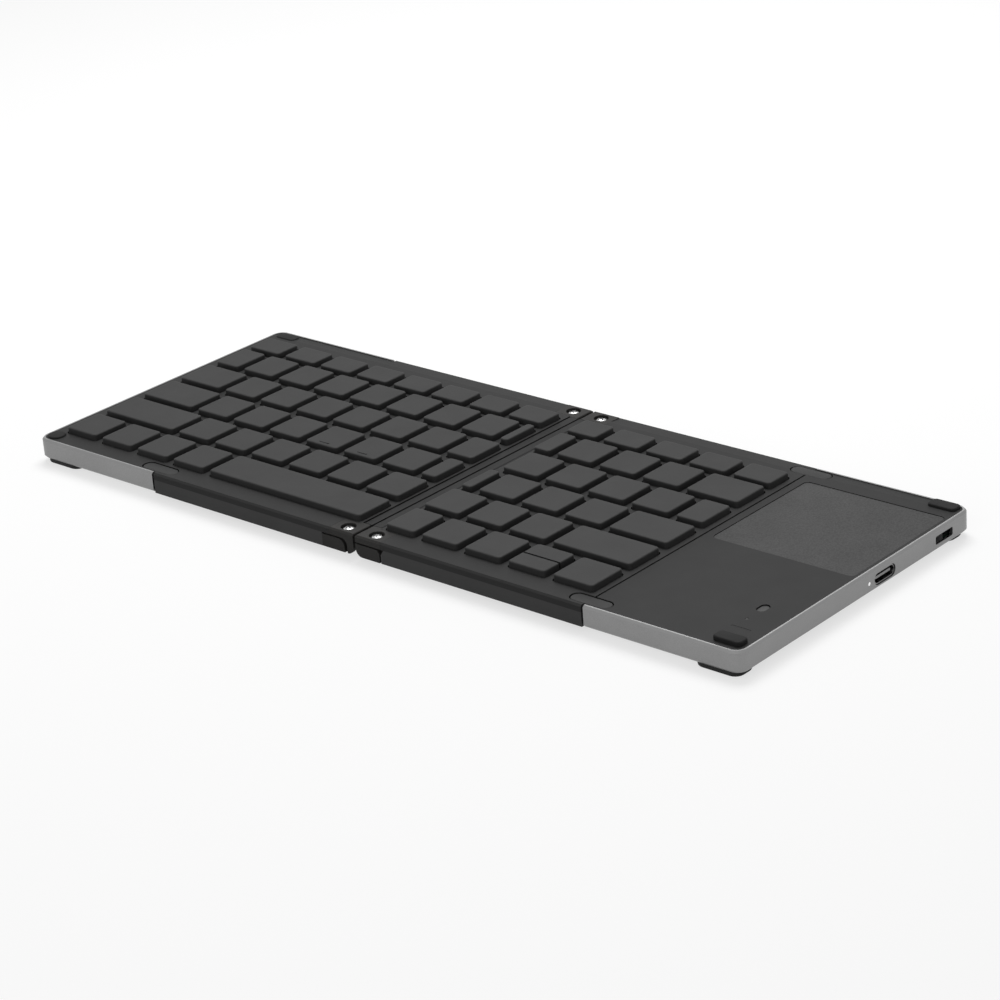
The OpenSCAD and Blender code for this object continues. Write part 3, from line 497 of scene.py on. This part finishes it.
class GeometryTree:
    """Geometry Nodes tree with named inputs, whose result is real and wears one finish."""

    name: str
    inputs: dict[str, str]

    def __init__(self) -> None:
        """Builds the tree."""
        self.tree = bpy.data.node_groups.new(self.name, "GeometryNodeTree")
        sockets = {"Geometry": "Geometry", **self.inputs, "Finish": "Material"}
        for label, kind in sockets.items():
            self.tree.interface.new_socket(
                label, in_out="INPUT", socket_type="NodeSocket" + kind)
        self.tree.interface.new_socket(
            "Geometry", in_out="OUTPUT", socket_type="NodeSocketGeometry")
        board = NodeBoard(self.tree)
        given = board.add("NodeGroupInput").outputs
        real = board.geometry("RealizeInstances", self._shape(board, given))
        dressed = board.geometry("SetMaterial", real, {"Material": given["Finish"]})
        board.add("NodeGroupOutput", {"Geometry": dressed})

    def _shape(self, board: NodeBoard, given: Sockets) -> Socket:
        """Returns the geometry that the tree makes from its inputs."""
        raise NotImplementedError

    def run(self, name: str, base: Mesh, values: dict[str, object]) -> Piece:
        """Runs the tree on a base mesh.

        Args:
            name: Name of the new object.
            base: Mesh that the tree starts from.
            values: The tree's inputs by name.

        Returns:
            An object with the finished, plain mesh.
        """
        piece = show(name, base)
        modifier = piece.modifiers.new(self.tree.name, "NODES")
        modifier.node_group = self.tree
        for item in self.tree.interface.items_tree:
            if item.item_type == "SOCKET" and item.in_out == "INPUT" and item.name in values:
                modifier[item.identifier] = values[item.name]
        bake(piece)
        bpy.data.meshes.remove(base)
        piece.data.name = name
        return piece


class MouldingTree(GeometryTree):
    """Sweeps an edge profile round flat outlines and closes them."""

    name = "moulding"
    inputs = {
        "Edge Profile": "Object", "Level": "Float", "Corner Radius": "Float",
        "Corner Steps": "Int", "Underside": "Float", "Stem Radius": "Float",
        "Stem Length": "Float"}
    stem_sides: int = 16

    def _shape(self, board: NodeBoard, given: Sockets) -> Socket:
        """Returns the mouldings and their stems, raised to their level."""
        flat = board.geometry("MeshToCurve", given["Geometry"])
        rounded = board.geometry("FilletCurve", flat, {
            "Count": given["Corner Steps"], "Radius": given["Corner Radius"],
            "Limit Radius": True}, mode="POLY")
        rail = board.geometry("SetCurveNormal", rounded, mode="Z_UP")
        profile = board.geometry("MeshToCurve", board.model(given["Edge Profile"]))
        wall = board.geometry("CurveToMesh", rail, {"Profile Curve": profile})
        lid = board.geometry("FillCurve", rail, mode="NGONS")
        underside = board.geometry("SetPosition", board.geometry("FlipFaces", lid), {
            "Offset": board.vector(Z=given["Underside"])})
        skin = board.joined(board.geometry("FlipFaces", wall), lid, underside)
        closed = board.geometry("MergeByDistance", skin, {"Distance": MERGE_WITHIN})
        return board.geometry("Transform", board.joined(closed, self._stems(board, given)), {
            "Translation": board.vector(Z=given["Level"])})

    def _stems(self, board: NodeBoard, given: Sockets) -> Socket:
        """Stands a round stem under the middle of each outline, if stems have a length."""
        length = given["Stem Length"]
        stem = board.geometry("MeshCylinder", self.stem_sides, {
            "Radius": given["Stem Radius"], "Depth": length})
        centre = board.maths("ADD", board.maths("MULTIPLY", length, -0.5), given["Underside"])
        hung = board.geometry("Transform", stem, {"Translation": board.vector(Z=centre)})
        wanted = board.out("FunctionNodeCompare", {0: length, 1: 0.0},
                           operation="GREATER_THAN")
        spots = board.geometry("MeshToPoints", given["Geometry"], mode="FACES")
        return board.geometry("InstanceOnPoints", spots, {
            "Selection": wanted, "Instance": hung})


@dataclass(frozen=True)
class Outline:
    """A flat rectangle that a moulding grows from."""

    left: float
    right: float
    front: float
    back: float
    level: float

    @classmethod
    def inside(cls, box: Box, inset: float, level: float) -> "Outline":
        """Returns a box's plan, pulled in by an inset, at a level."""
        return cls(box.low.x + inset, box.high.x - inset, box.low.y + inset,
                   box.high.y - inset, level)


@dataclass
class EdgeProfile:
    """Section of a moulding's edge, from its rail outwards and down."""

    points: list[Point] = field(default_factory=lambda: [(0.0, 0.0)])

    @classmethod
    def rounded(cls, edge: float, depth: float, end: float = 0.0, steps: int = 4
                ) -> "EdgeProfile":
        """Returns a rounded top edge over an upright wall.

        Args:
            edge: Radius of the edge.
            depth: Level of the wall's foot, below zero.
            end: Angle where the rounding stops, in degrees.
            steps: Number of stretches in the rounding.

        Returns:
            The profile, closed towards the rail at its foot.
        """
        return cls().bend(0, -edge, edge, 90, end, steps).to(edge, depth).to(0, depth)

    def to(self, out: float, up: float) -> "EdgeProfile":
        """Adds one point."""
        self.points.append((out, up))
        return self

    def bend(self, out: float, up: float, radius: float, start: float, end: float,
             steps: int = 4) -> "EdgeProfile":
        """Adds an arc.

        Args:
            out: Distance of the arc's middle from the rail.
            up: Height of the arc's middle over the rail.
            radius: Radius of the arc.
            start: Angle of its first point, in degrees.
            end: Angle of its last point, in degrees.
            steps: Number of stretches in the arc.

        Returns:
            The profile itself.
        """
        for step in range(steps + 1):
            angle = math.radians(start + (end - start) * step / steps)
            self.to(out + radius * math.cos(angle), up + radius * math.sin(angle))
        return self

    def helper(self) -> Piece:
        """Makes the profile a line that the tree can read."""
        mesh = bpy.data.meshes.new("profile")
        spots = [(-out, -up, 0.0) for out, up in self.points]
        mesh.from_pydata(spots, [(i, i + 1) for i in range(len(spots) - 1)], [])
        return bpy.data.objects.new("profile", mesh)


class Moulder:
    """Makes soft-edged mouldings from outlines and dresses them."""

    sharp_over: float = math.radians(40)
    corner_steps: int = 5

    def __init__(self, finishes: dict[Slot, bpy.types.Material]) -> None:
        """Keeps the materials and builds the tree."""
        self.finishes = finishes
        self.tree = MouldingTree()

    def mould(self, name: str, outlines: list[Outline], profile: EdgeProfile, corner: float,
              slot: Slot, stem: Point = (1 * MM, 0.0)) -> Piece:
        """Moulds one piece.

        Args:
            name: Name of the piece.
            outlines: Flat outlines of its parts.
            profile: Section of its edge.
            corner: Corner radius of the rail.
            slot: The finish.
            stem: Radius and length of the stem under each part.

        Returns:
            The finished object.
        """
        base = bpy.data.meshes.new(name)
        spots, faces = [], []
        for line in outlines:
            first = len(spots)
            spots += [(line.left, line.front, 0.0), (line.right, line.front, 0.0),
                      (line.right, line.back, 0.0), (line.left, line.back, 0.0)]
            faces.append(tuple(range(first, first + 4)))
        base.from_pydata(spots, [], faces)
        helper = profile.helper()
        piece = self.tree.run(name, base, {
            "Edge Profile": helper, "Level": outlines[0].level, "Corner Radius": corner,
            "Corner Steps": self.corner_steps, "Underside": profile.points[-1][1],
            "Stem Radius": stem[0], "Stem Length": stem[1], "Finish": self.finishes[slot]})
        bpy.data.objects.remove(helper)
        self.soften(piece, slot)
        return piece

    def block(self, name: str, boxes: list[Box], level: float, edge: float, corner: float,
              slot: Slot, spread: float = 0.0, **rounding: float) -> Piece:
        """Moulds upright blocks with a rounded top edge.

        Args:
            name: Name of the piece.
            boxes: Boxes of its parts.
            level: Level of its top.
            edge: Radius of the top edge.
            corner: Corner radius, seen from above.
            slot: The finish.
            spread: How far each part reaches past its box.
            rounding: End angle and number of steps of the top edge.

        Returns:
            The finished object.
        """
        profile = EdgeProfile.rounded(edge, boxes[0].low.z - level, **rounding)
        return self.mould(name, [Outline.inside(box, edge - spread, level) for box in boxes],
                          profile, corner - edge, slot)

    def soften(self, piece: Piece, slot: Slot) -> None:
        """Shades a piece smooth, apart from its sharp edges."""
        piece.data.shade_smooth()
        piece.data.set_sharp_from_angle(angle=self.sharp_over)


def cut_across(piece: Piece, level: float, keep_front: bool) -> None:
    """Cuts a solid piece along a plane across Y and closes the cut.

    Args:
        piece: The piece.
        level: Place of the plane on Y.
        keep_front: Whether the part before the plane stays, or the part behind it.
    """
    work = bmesh.new()
    work.from_mesh(piece.data)
    bmesh.ops.bisect_plane(
        work, geom=work.verts[:] + work.edges[:] + work.faces[:], plane_co=(0, level, 0),
        plane_no=(0, 1, 0), clear_outer=keep_front, clear_inner=not keep_front)
    bmesh.ops.holes_fill(work, edges=[edge for edge in work.edges if edge.is_boundary])
    bmesh.ops.recalc_face_normals(work, faces=work.faces)
    work.to_mesh(piece.data)
    work.free()


def join(name: str, parts: list[Piece]) -> Piece:
    """Joins pieces that share one finish into the first and names it."""
    work = bmesh.new()
    for part in parts:
        work.from_mesh(part.data)
    work.to_mesh(parts[0].data)
    work.free()
    for part in parts[1:]:
        bpy.data.objects.remove(part)
    parts[0].name = name
    return parts[0]


def settle(piece: Piece, body: str, *nodes: str) -> None:
    """Puts a piece on its body in place of its CAD nodes and reports it.

    Args:
        piece: The piece.
        body: The body that it moves with.
        nodes: The CAD nodes that it stands for.
    """
    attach(piece, body)
    if nodes:
        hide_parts(*nodes)
    LOG.info("%s: %d faces, rides on %s", piece.name, len(piece.data.polygons), body)


# ---- sub-assemblies


@dataclass
class Keys:
    """The key caps, row by row."""

    moulder: Moulder
    wall: float = 0.9 * MM
    lean: float = 0.12 * MM
    edge: float = 0.4 * MM
    edge_end: float = 8.0
    corner: float = 1.2 * MM
    skirt: float = 2.7 * MM
    stem: float = 1.2 * MM
    post_overlap: float = 0.1 * MM
    post_flare: float = 0.01 * MM
    halves: tuple[str, str] = ("arrow_down_key", "arrow_up_key")
    bar_height: float = 0.15 * MM
    bar_width: float = 3.6 * MM
    bar_depth: float = 0.6 * MM
    bar_inset: float = 1.4 * MM
    bar_edge: float = 0.12 * MM
    bar_root: float = 0.3 * MM
    bar_corner: float = 0.15 * MM

    def build(self) -> None:
        """Makes every row and single key."""
        for joint in frame["joints"]:
            if joint["name"].endswith("_press"):
                node = joint["child"]
                parts = self._half(node) if node in self.halves else self._row(node)
                settle(join(node + "_caps", parts), node, node)

    def _cap(self) -> EdgeProfile:
        """Returns the section of a cap's top edge and skirt."""
        middle = self.wall - self.lean - self.edge
        top = EdgeProfile().bend(middle, -self.edge, self.edge, 90, self.edge_end)
        return top.to(self.wall, -self.skirt).to(0, -self.skirt)

    def _row(self, node: str) -> list[Piece]:
        """Makes the caps of one row, and the homing bars on them."""
        boxes = solids_of(node)
        top = min(box.high.z for box in boxes)
        parts = [self.moulder.mould(
            node, [Outline.inside(box, self.wall, top) for box in boxes],
            self._cap().to(0, -self.wall), self.corner - self.wall, Slot.KEY,
            stem=(self.stem, top - self.wall - boxes[0].low.z))]
        bars = [box for box in boxes if box.high.z > top + self.bar_height / 2]
        if bars:
            parts.append(self._bars(bars, top))
        return parts

    def _half(self, node: str) -> list[Piece]:
        """Makes one of the two half-depth caps, which are one cap cut across, and its post."""
        front, back = (solids_of(name)[0] for name in self.halves)
        own = solids_of(node)[0]
        whole = Box(front.low, back.high)
        cap = self.moulder.mould(
            node, [Outline.inside(whole, self.wall, whole.high.z)], self._cap(),
            self.corner - self.wall, Slot.KEY)
        is_front = node == self.halves[0]
        cut_across(cap, own.high.y if is_front else own.low.y, keep_front=is_front)
        level = whole.high.z - self.skirt + self.post_overlap
        drop = own.low.z - level
        reach = Vector((self.stem, self.stem, 0))
        seat = Outline.inside(Box(own.centre - reach, own.centre + reach), 0.0, level)
        side = EdgeProfile().to(self.post_flare, drop).to(0, drop)
        post = self.moulder.mould(node, [seat], side, self.stem, Slot.KEY)
        self.moulder.soften(cap, Slot.KEY)
        return [cap, post]

    def _bars(self, boxes: list[Box], top: float) -> Piece:
        """Makes the homing bars on two of the caps."""
        reach = self.bar_width / 2 - self.bar_edge
        lines = []
        for box in boxes:
            front = box.low.y + self.lean + self.bar_inset
            lines.append(Outline(
                box.centre.x - reach, box.centre.x + reach, front + self.bar_edge,
                front + self.bar_depth - self.bar_edge, top + self.bar_height))
        return self.moulder.mould(
            "homing_bars", lines, EdgeProfile.rounded(self.bar_edge, -self.bar_root),
            self.bar_corner, Slot.KEY)


@dataclass
class RubberParts:
    """Bumpers on the decks and feet below."""

    moulder: Moulder
    crown: float = 0.45 * MM
    crown_end: float = 10.0
    crown_steps: int = 5
    bar_corner: float = 1.3 * MM
    bar_spread: float = 0.15 * MM
    back_lift: float = 0.3 * MM
    sole: float = 0.5 * MM
    foot_length: float = 13.5 * MM
    foot_end: float = 1.6 * MM
    foot_edge: float = 0.9 * MM

    def build(self) -> None:
        """Makes the bumpers and the feet of both halves."""
        for side in ("left", "right"):
            self._bumpers(side)
            self._feet(side)

    def _bumpers(self, side: str) -> None:
        """Makes one half's bumpers, with a rounded crown."""
        node = f"{side}_bumpers"
        parts = []
        for box in solids_of(node):
            level = box.high.z
            if side == "right" and box.low.y > 0:
                level += self.back_lift
            corner = box.narrow / 2 if box.is_round else self.bar_corner
            parts.append(self.moulder.block(
                f"{side}_bumper", [box], level, self.crown, corner, Slot.BUMPER,
                self.bar_spread, end=self.crown_end, steps=self.crown_steps))
        settle(join(f"{side}_soft_bumpers", parts), f"{side}_half", node)

    def _feet(self, side: str) -> None:
        """Makes one half's feet, with a rounded sole."""
        node = f"{side}_feet"
        boxes = solids_of(node)
        wall = self.sole + boxes[0].low.z - boxes[0].high.z
        profile = EdgeProfile().to(self.sole, 0).to(self.sole, wall)
        profile.bend(0, wall, self.sole, 0, -90)
        piece = self.moulder.mould(
            f"{side}_soft_feet",
            [Outline.inside(self._foot(box), self.sole, box.high.z) for box in boxes],
            profile, boxes[0].narrow / 2 - self.sole, Slot.FOOT)
        settle(piece, f"{side}_half", node)

    def _foot(self, box: Box) -> Box:
        """Returns a foot's plan; one in a corner reaches out to the case's edges."""
        ends = Box(*(Vector(corner) for corner in CAD_BOX))
        if abs(box.centre.x) < ends.high.x / 2:
            return box
        near, far = box.low.copy(), box.high.copy()
        if box.centre.x < 0:
            near.x = ends.low.x + self.foot_end
            far.x = near.x + self.foot_length
        else:
            far.x = ends.high.x - self.foot_end
            near.x = far.x - self.foot_length
        if box.centre.y < 0:
            near.y = ends.low.y + self.foot_edge
        else:
            far.y = ends.high.y - self.foot_edge
        return Box(near, far)


@dataclass
class Trim:
    """Joint covers and the touchpad's sheet."""

    moulder: Moulder
    cover_edge: float = 0.3 * MM
    pad_edge: float = 0.12 * MM
    pad_corner: float = 1.4 * MM
    pad_spread: float = 0.13 * MM
    pad_drop: float = 0.05 * MM

    def build(self) -> None:
        """Makes every trim piece."""
        self._covers("left_joint_cover", "left_half")
        self._covers("right_joint_covers", "right_half")
        self._touchpad()

    def _covers(self, node: str, body: str) -> None:
        """Makes the oblong covers over the joints of case and frame."""
        boxes = solids_of(node)
        piece = self.moulder.block(node + "_caps", boxes, boxes[0].high.z, self.cover_edge,
                                   boxes[0].narrow / 2, Slot.COVER)
        settle(piece, body, node)

    def _touchpad(self) -> None:
        """Makes the touchpad's sheet."""
        box = solids_of("touchpad")[0]
        piece = self.moulder.block(
            "touchpad_sheet", [box], box.high.z - self.pad_drop, self.pad_edge,
            self.pad_corner, Slot.TOUCHPAD, self.pad_spread)
        settle(piece, "right_half", "touchpad")


@dataclass
class StatusLights:
    """Lens, dot and slot of the status lights in the deck."""

    moulder: Moulder
    sunk: float = 0.2 * MM
    groove: float = 0.15 * MM
    groove_depth: float = 0.35 * MM
    edge: float = 0.12 * MM
    plug_steps: int = 2

    def build(self) -> None:
        """Makes the three pieces in place of their node."""
        slot, dot, lens = sorted(solids_of("status_windows"), key=lambda box: box.narrow)
        self._lens(lens)
        self._plug("status_slot", slot, Slot.DECK)
        self._plug("status_dot", dot, Slot.WINDOW)

    def _lens(self, box: Box) -> None:
        """Makes the lens, sunk into the deck, with a groove round it."""
        level = box.high.z - self.sunk
        depth = box.low.z - level
        rail = self.groove + self.edge
        profile = EdgeProfile().bend(0, -self.edge, self.edge, 90, 0)
        profile.to(self.edge, -self.groove_depth).to(rail, -self.groove_depth)
        profile.to(rail, depth).to(0, depth)
        piece = self.moulder.mould(
            "status_lens", [Outline.inside(box, rail, level)], profile,
            box.narrow / 2 - rail, Slot.WINDOW)
        settle(piece, "right_half", "status_windows")

    def _plug(self, name: str, box: Box, slot: Slot) -> None:
        """Fills one small opening from below, level with the deck."""
        piece = self.moulder.block(name, [box], box.high.z, self.edge / 2, box.narrow / 2,
                                   slot, steps=self.plug_steps)
        settle(piece, "right_half", "status_windows")


@dataclass
class PowerKnob:
    """The power switch's knob: a soft-edged block with a smaller grip on its face."""

    moulder: Moulder
    guide_height: float = 1.0 * MM
    step: float = 0.35 * MM
    head_steps: int = 3
    edge: float = 0.14 * MM
    edge_steps: int = 3

    def build(self) -> None:
        """Makes the knob in place of its node."""
        box = box_of("power_switch_knob")
        low, high = box.low, box.high
        neck = high.x - self.head_steps * self.step
        root = Vector((neck, low.y, low.z))
        inset = Vector((0, self.step, self.step))
        guide = Vector((0, 0, self.guide_height / 2))
        work = bmesh.new()
        add_block(work, root, high - Vector((self.step, 0, 0)))
        add_block(work, root + inset, high - inset)
        add_block(work, Vector((low.x, low.y, box.centre.z)) - guide,
                  Vector((neck + self.edge, high.y, box.centre.z)) + guide)
        bmesh.ops.bevel(work, geom=work.edges[:], offset=self.edge,
                        segments=self.edge_steps, profile=0.5, affect="EDGES")
        piece = show("power_knob", mesh_from(work, "power_knob"))
        piece.data.materials.append(self.moulder.finishes[Slot.KNOB])
        self.moulder.soften(piece, Slot.KNOB)
        settle(piece, "switch_knob", "power_switch_knob")


class ScrewTree(GeometryTree):
    """Stands one screw on each point, each turned its own way."""

    name = "screw_set"
    inputs = {"Screw": "Object", "Seed": "Int"}

    def _shape(self, board: NodeBoard, given: Sockets) -> Socket:
        """Returns the screws in their places."""
        spots = board.geometry("MeshToPoints", given["Geometry"])
        turn = board.add("FunctionNodeRandomValue", {
            2: 0.0, 3: math.pi, "Seed": given["Seed"]}, data_type="FLOAT").outputs[1]
        return board.geometry("InstanceOnPoints", spots, {
            "Instance": board.model(given["Screw"]), "Rotation": board.vector(Z=turn)})


@dataclass
class HingeScrews:
    """Domed cross-head screws in the hinge brackets."""

    moulder: Moulder
    head: float = 1.6 * MM
    dome: float = 0.5 * MM
    rim: float = 0.3 * MM
    shank: float = 0.8 * MM
    cross: Triple = (2.1 * MM, 0.55 * MM, 1.0 * MM)
    rings: int = 6
    steps: int = 40
    seeds: dict[str, int] = field(default_factory=lambda: {"left": 3, "right": 8})

    def build(self) -> None:
        """Makes the screws of both halves."""
        tree = ScrewTree()
        for side, seed in self.seeds.items():
            node = f"{side}_hinge_screws"
            boxes = solids_of(node)
            model = self._screw(boxes[0].high.z - boxes[0].low.z)
            base = bpy.data.meshes.new(node)
            base.from_pydata([(*box.centre.xy, box.high.z) for box in boxes], [], [])
            piece = tree.run(f"{side}_cross_screws", base, {
                "Screw": model, "Seed": seed, "Finish": self.moulder.finishes[Slot.SCREW]})
            bpy.data.objects.remove(model)
            self.moulder.soften(piece, Slot.SCREW)
            settle(piece, f"{side}_half", node)

    def _screw(self, length: float) -> Piece:
        """Makes one screw of a given length, with its crown at the origin and a cross in it."""
        screw = show("screw", self._turned(self._section(length)))
        wide, narrow, deep = self.cross
        cutters = [self._cutter((wide, narrow, deep)), self._cutter((narrow, wide, deep))]
        for cutter in cutters:
            cut = screw.modifiers.new("cross", "BOOLEAN")
            cut.operation, cut.solver, cut.object = "DIFFERENCE", "EXACT", cutter
        bake(screw)
        for cutter in cutters:
            bpy.data.objects.remove(cutter)
        return screw

    def _section(self, length: float) -> list[Point]:
        """Returns radius and height along a screw, from beside its crown to its tip."""
        ball = (self.head ** 2 + self.dome ** 2) / (2 * self.dome)
        radii = [self.head * ring / self.rings for ring in range(1, self.rings + 1)]
        section = [(radius, math.sqrt(ball ** 2 - radius ** 2) - ball) for radius in radii]
        under = -self.dome - self.rim
        return section + [(self.head, under), (self.shank, under), (self.shank, -length)]

    def _turned(self, section: list[Point]) -> Mesh:
        """Turns a section round its axis into a closed mesh."""
        spots = [(0.0, 0.0, 0.0)]
        for radius, up in section:
            angles = (2 * math.pi * step / self.steps for step in range(self.steps))
            spots += [(radius * math.cos(angle), radius * math.sin(angle), up)
                      for angle in angles]
        around = [(step, (step + 1) % self.steps) for step in range(self.steps)]
        faces = [(0, 1 + here, 1 + there) for here, there in around]
        for first in range(1, len(spots) - self.steps, self.steps):
            below = first + self.steps
            faces += [(first + here, below + here, below + there, first + there)
                      for here, there in around]
        faces.append(tuple(reversed(range(len(spots) - self.steps, len(spots)))))
        mesh = bpy.data.meshes.new("screw")
        mesh.from_pydata(spots, [], faces)
        return mesh

    @staticmethod
    def _cutter(size: Triple) -> Piece:
        """Makes one bar of the cross, centred on the crown."""
        work = bmesh.new()
        add_block(work, -Vector(size) / 2, Vector(size) / 2)
        return show("cutter", mesh_from(work, "cutter"))


class ContactTree(GeometryTree):
    """Lays two rows of equal contacts along Y, one over the other."""

    name = "contact_rows"
    inputs = {"Count": "Int", "Pitch": "Float", "Contact": "Vector", "Start": "Vector",
              "Rows Apart": "Float"}

    def _shape(self, board: NodeBoard, given: Sockets) -> Socket:
        """Returns the contacts in their places."""
        line = board.geometry("MeshLine", given["Count"], {
            "Start Location": given["Start"], "Offset": board.vector(Y=given["Pitch"])})
        drop = board.maths("MULTIPLY", given["Rows Apart"], -1.0)
        under = board.geometry("Transform", line, {"Translation": board.vector(Z=drop)})
        return board.geometry("InstanceOnPoints", board.joined(line, under), {
            "Instance": board.geometry("MeshCube", given["Contact"])})


@dataclass
class SocketContacts:
    """Contacts on both faces of the charging socket's tongue."""

    moulder: Moulder
    count: int = 12
    pitch: float = 0.5 * MM
    width: float = 0.26 * MM
    length: float = 2.2 * MM
    tongue_thickness: float = 0.7 * MM
    front_inset: float = 0.7 * MM
    proud: float = 0.02 * MM

    def build(self) -> None:
        """Makes the contacts."""
        box = box_of("charging_socket")
        start = (box.high.x - self.front_inset - self.length / 2,
                 box.centre.y - self.pitch * (self.count - 1) / 2,
                 box.centre.z + self.tongue_thickness / 2)
        piece = ContactTree().run("socket_contacts", bpy.data.meshes.new("contacts"), {
            "Count": self.count, "Pitch": self.pitch, "Start": start,
            "Contact": (self.length, self.width, 2 * self.proud),
            "Rows Apart": self.tongue_thickness,
            "Finish": self.moulder.finishes[Slot.SOCKET]})
        settle(piece, "right_half")


# ---- studio


@dataclass(frozen=True)
class Lamp:
    """A soft square lamp that points at the keyboard."""

    name: str
    place: Triple
    size: float
    watts: float

    def hang(self) -> None:
        """Hangs the lamp."""
        data = bpy.data.lights.new(self.name, "AREA")
        data.shape = "SQUARE"
        data.size = self.size
        data.energy = self.watts
        place = Vector(self.place)
        turn = (-place).to_track_quat("-Z", "Y").to_matrix().to_4x4()
        show(self.name, data).matrix_world = Matrix.Translation(place) @ turn


@dataclass(frozen=True)
class Studio:
    """Camera, lamps, floor and surroundings."""

    azimuth: float = math.radians(42.647)
    elevation: float = math.radians(23.747)
    roll: float = math.radians(-4.331)
    distance: float = 0.8044
    target: Triple = (0.01804, -0.01217, 0.0075)
    lens: float = 108.53
    nearest: float = 0.01
    farthest: float = 50.0
    surround: float = 0.28
    floor_shade: float = 0.38
    floor_lift: float = 0.65
    floor_size: float = 12.0
    lamps: tuple[Lamp, ...] = (Lamp("overhead", (-0.2, 0.3, 0.75), 0.5, 4.9),
                               Lamp("front_fill", (0.25, -0.9, 0.45), 0.6, 1.5))

    def build(self) -> None:
        """Makes the whole studio."""
        self._camera()
        self._surroundings()
        self._floor()
        for lamp in self.lamps:
            lamp.hang()

    def _camera(self) -> None:
        """Aims the camera at its target."""
        data = bpy.data.cameras.new("camera")
        data.lens = self.lens
        data.clip_start, data.clip_end = self.nearest, self.farthest
        turn = (Matrix.Rotation(self.azimuth, 4, "Z")
                @ Matrix.Rotation(math.pi / 2 - self.elevation, 4, "X")
                @ Matrix.Rotation(self.roll, 4, "Z"))
        camera = show("camera", data)
        camera.matrix_world = (Matrix.Translation(self.target) @ turn
                               @ Matrix.Translation((0, 0, self.distance)))
        bpy.context.scene.camera = camera

    def _surroundings(self) -> None:
        """Sets a plain level all round, which the eye and reflections see as white."""
        world = bpy.data.worlds.new("surroundings")
        bpy.context.scene.world = world
        board = NodeBoard.cleared(world)
        level = board.remap(self._seen(board), UNIT, (self.surround, 1.0))
        light = board.out("ShaderNodeBackground", {"Color": WHITE, "Strength": level})
        board.add("ShaderNodeOutputWorld", {"Surface": light})

    @staticmethod
    def _seen(board: NodeBoard) -> Socket:
        """Returns 1 for rays from the eye, a reflection or through glass."""
        rays = board.add("ShaderNodeLightPath").outputs
        mirrored = board.maths("MAXIMUM", rays["Is Glossy Ray"], rays["Is Transmission Ray"])
        return board.maths("MAXIMUM", rays["Is Camera Ray"], mirrored)

    def _floor(self) -> None:
        """Lays the pale floor."""
        work = bmesh.new()
        bmesh.ops.create_grid(work, x_segments=1, y_segments=1, size=self.floor_size / 2)
        mesh = mesh_from(work, "floor")
        shade = bpy.data.materials.new("floor_paper")
        board = NodeBoard.cleared(shade)
        base = board.out("ShaderNodeBsdfDiffuse", {"Color": (*grey(self.floor_shade), 1.0)})
        lift = board.maths("MULTIPLY", self._seen(board), self.floor_lift)
        glow = board.out("ShaderNodeEmission", {"Color": WHITE, "Strength": lift})
        both = board.out("ShaderNodeAddShader", {0: base, 1: glow})
        board.add("ShaderNodeOutputMaterial", {"Surface": both})
        mesh.materials.append(shade)
        show("floor", mesh)


@dataclass
class Keyboard:
    """The whole dressed keyboard."""

    effects: SurfaceEffects = field(default_factory=SurfaceEffects)
    finishes: dict[Slot, bpy.types.Material] = field(default_factory=dict)

    def build(self) -> None:
        """Dresses the CAD nodes and makes the modelled pieces."""
        for slot, finish in FINISHES.items():
            self.finishes[slot] = finish.material(slot.value, self.effects)
        self._dress_nodes()
        moulder = Moulder(self.finishes)
        for part in (Keys(moulder), RubberParts(moulder), Trim(moulder), StatusLights(moulder),
                     PowerKnob(moulder), HingeScrews(moulder), SocketContacts(moulder)):
            part.build()

    def _dress_nodes(self) -> None:
        """Puts the finishes on the CAD nodes."""
        for entry in frame["record"]["subparts"]:
            slot = Slot(entry["material_slot"])
            for holder in frame["nodes"][entry["node"]].material_slots:
                holder.material = self.finishes[slot]
            LOG.info("%s wears %s", entry["node"], slot.value)


def main() -> None:
    """Builds the studio and the keyboard."""
    logging.basicConfig(level=logging.INFO, format="%(message)s")
    bpy.context.scene.view_settings.view_transform = "Standard"
    Studio().build()
    Keyboard().build()


if __name__ == "__main__":
    main()
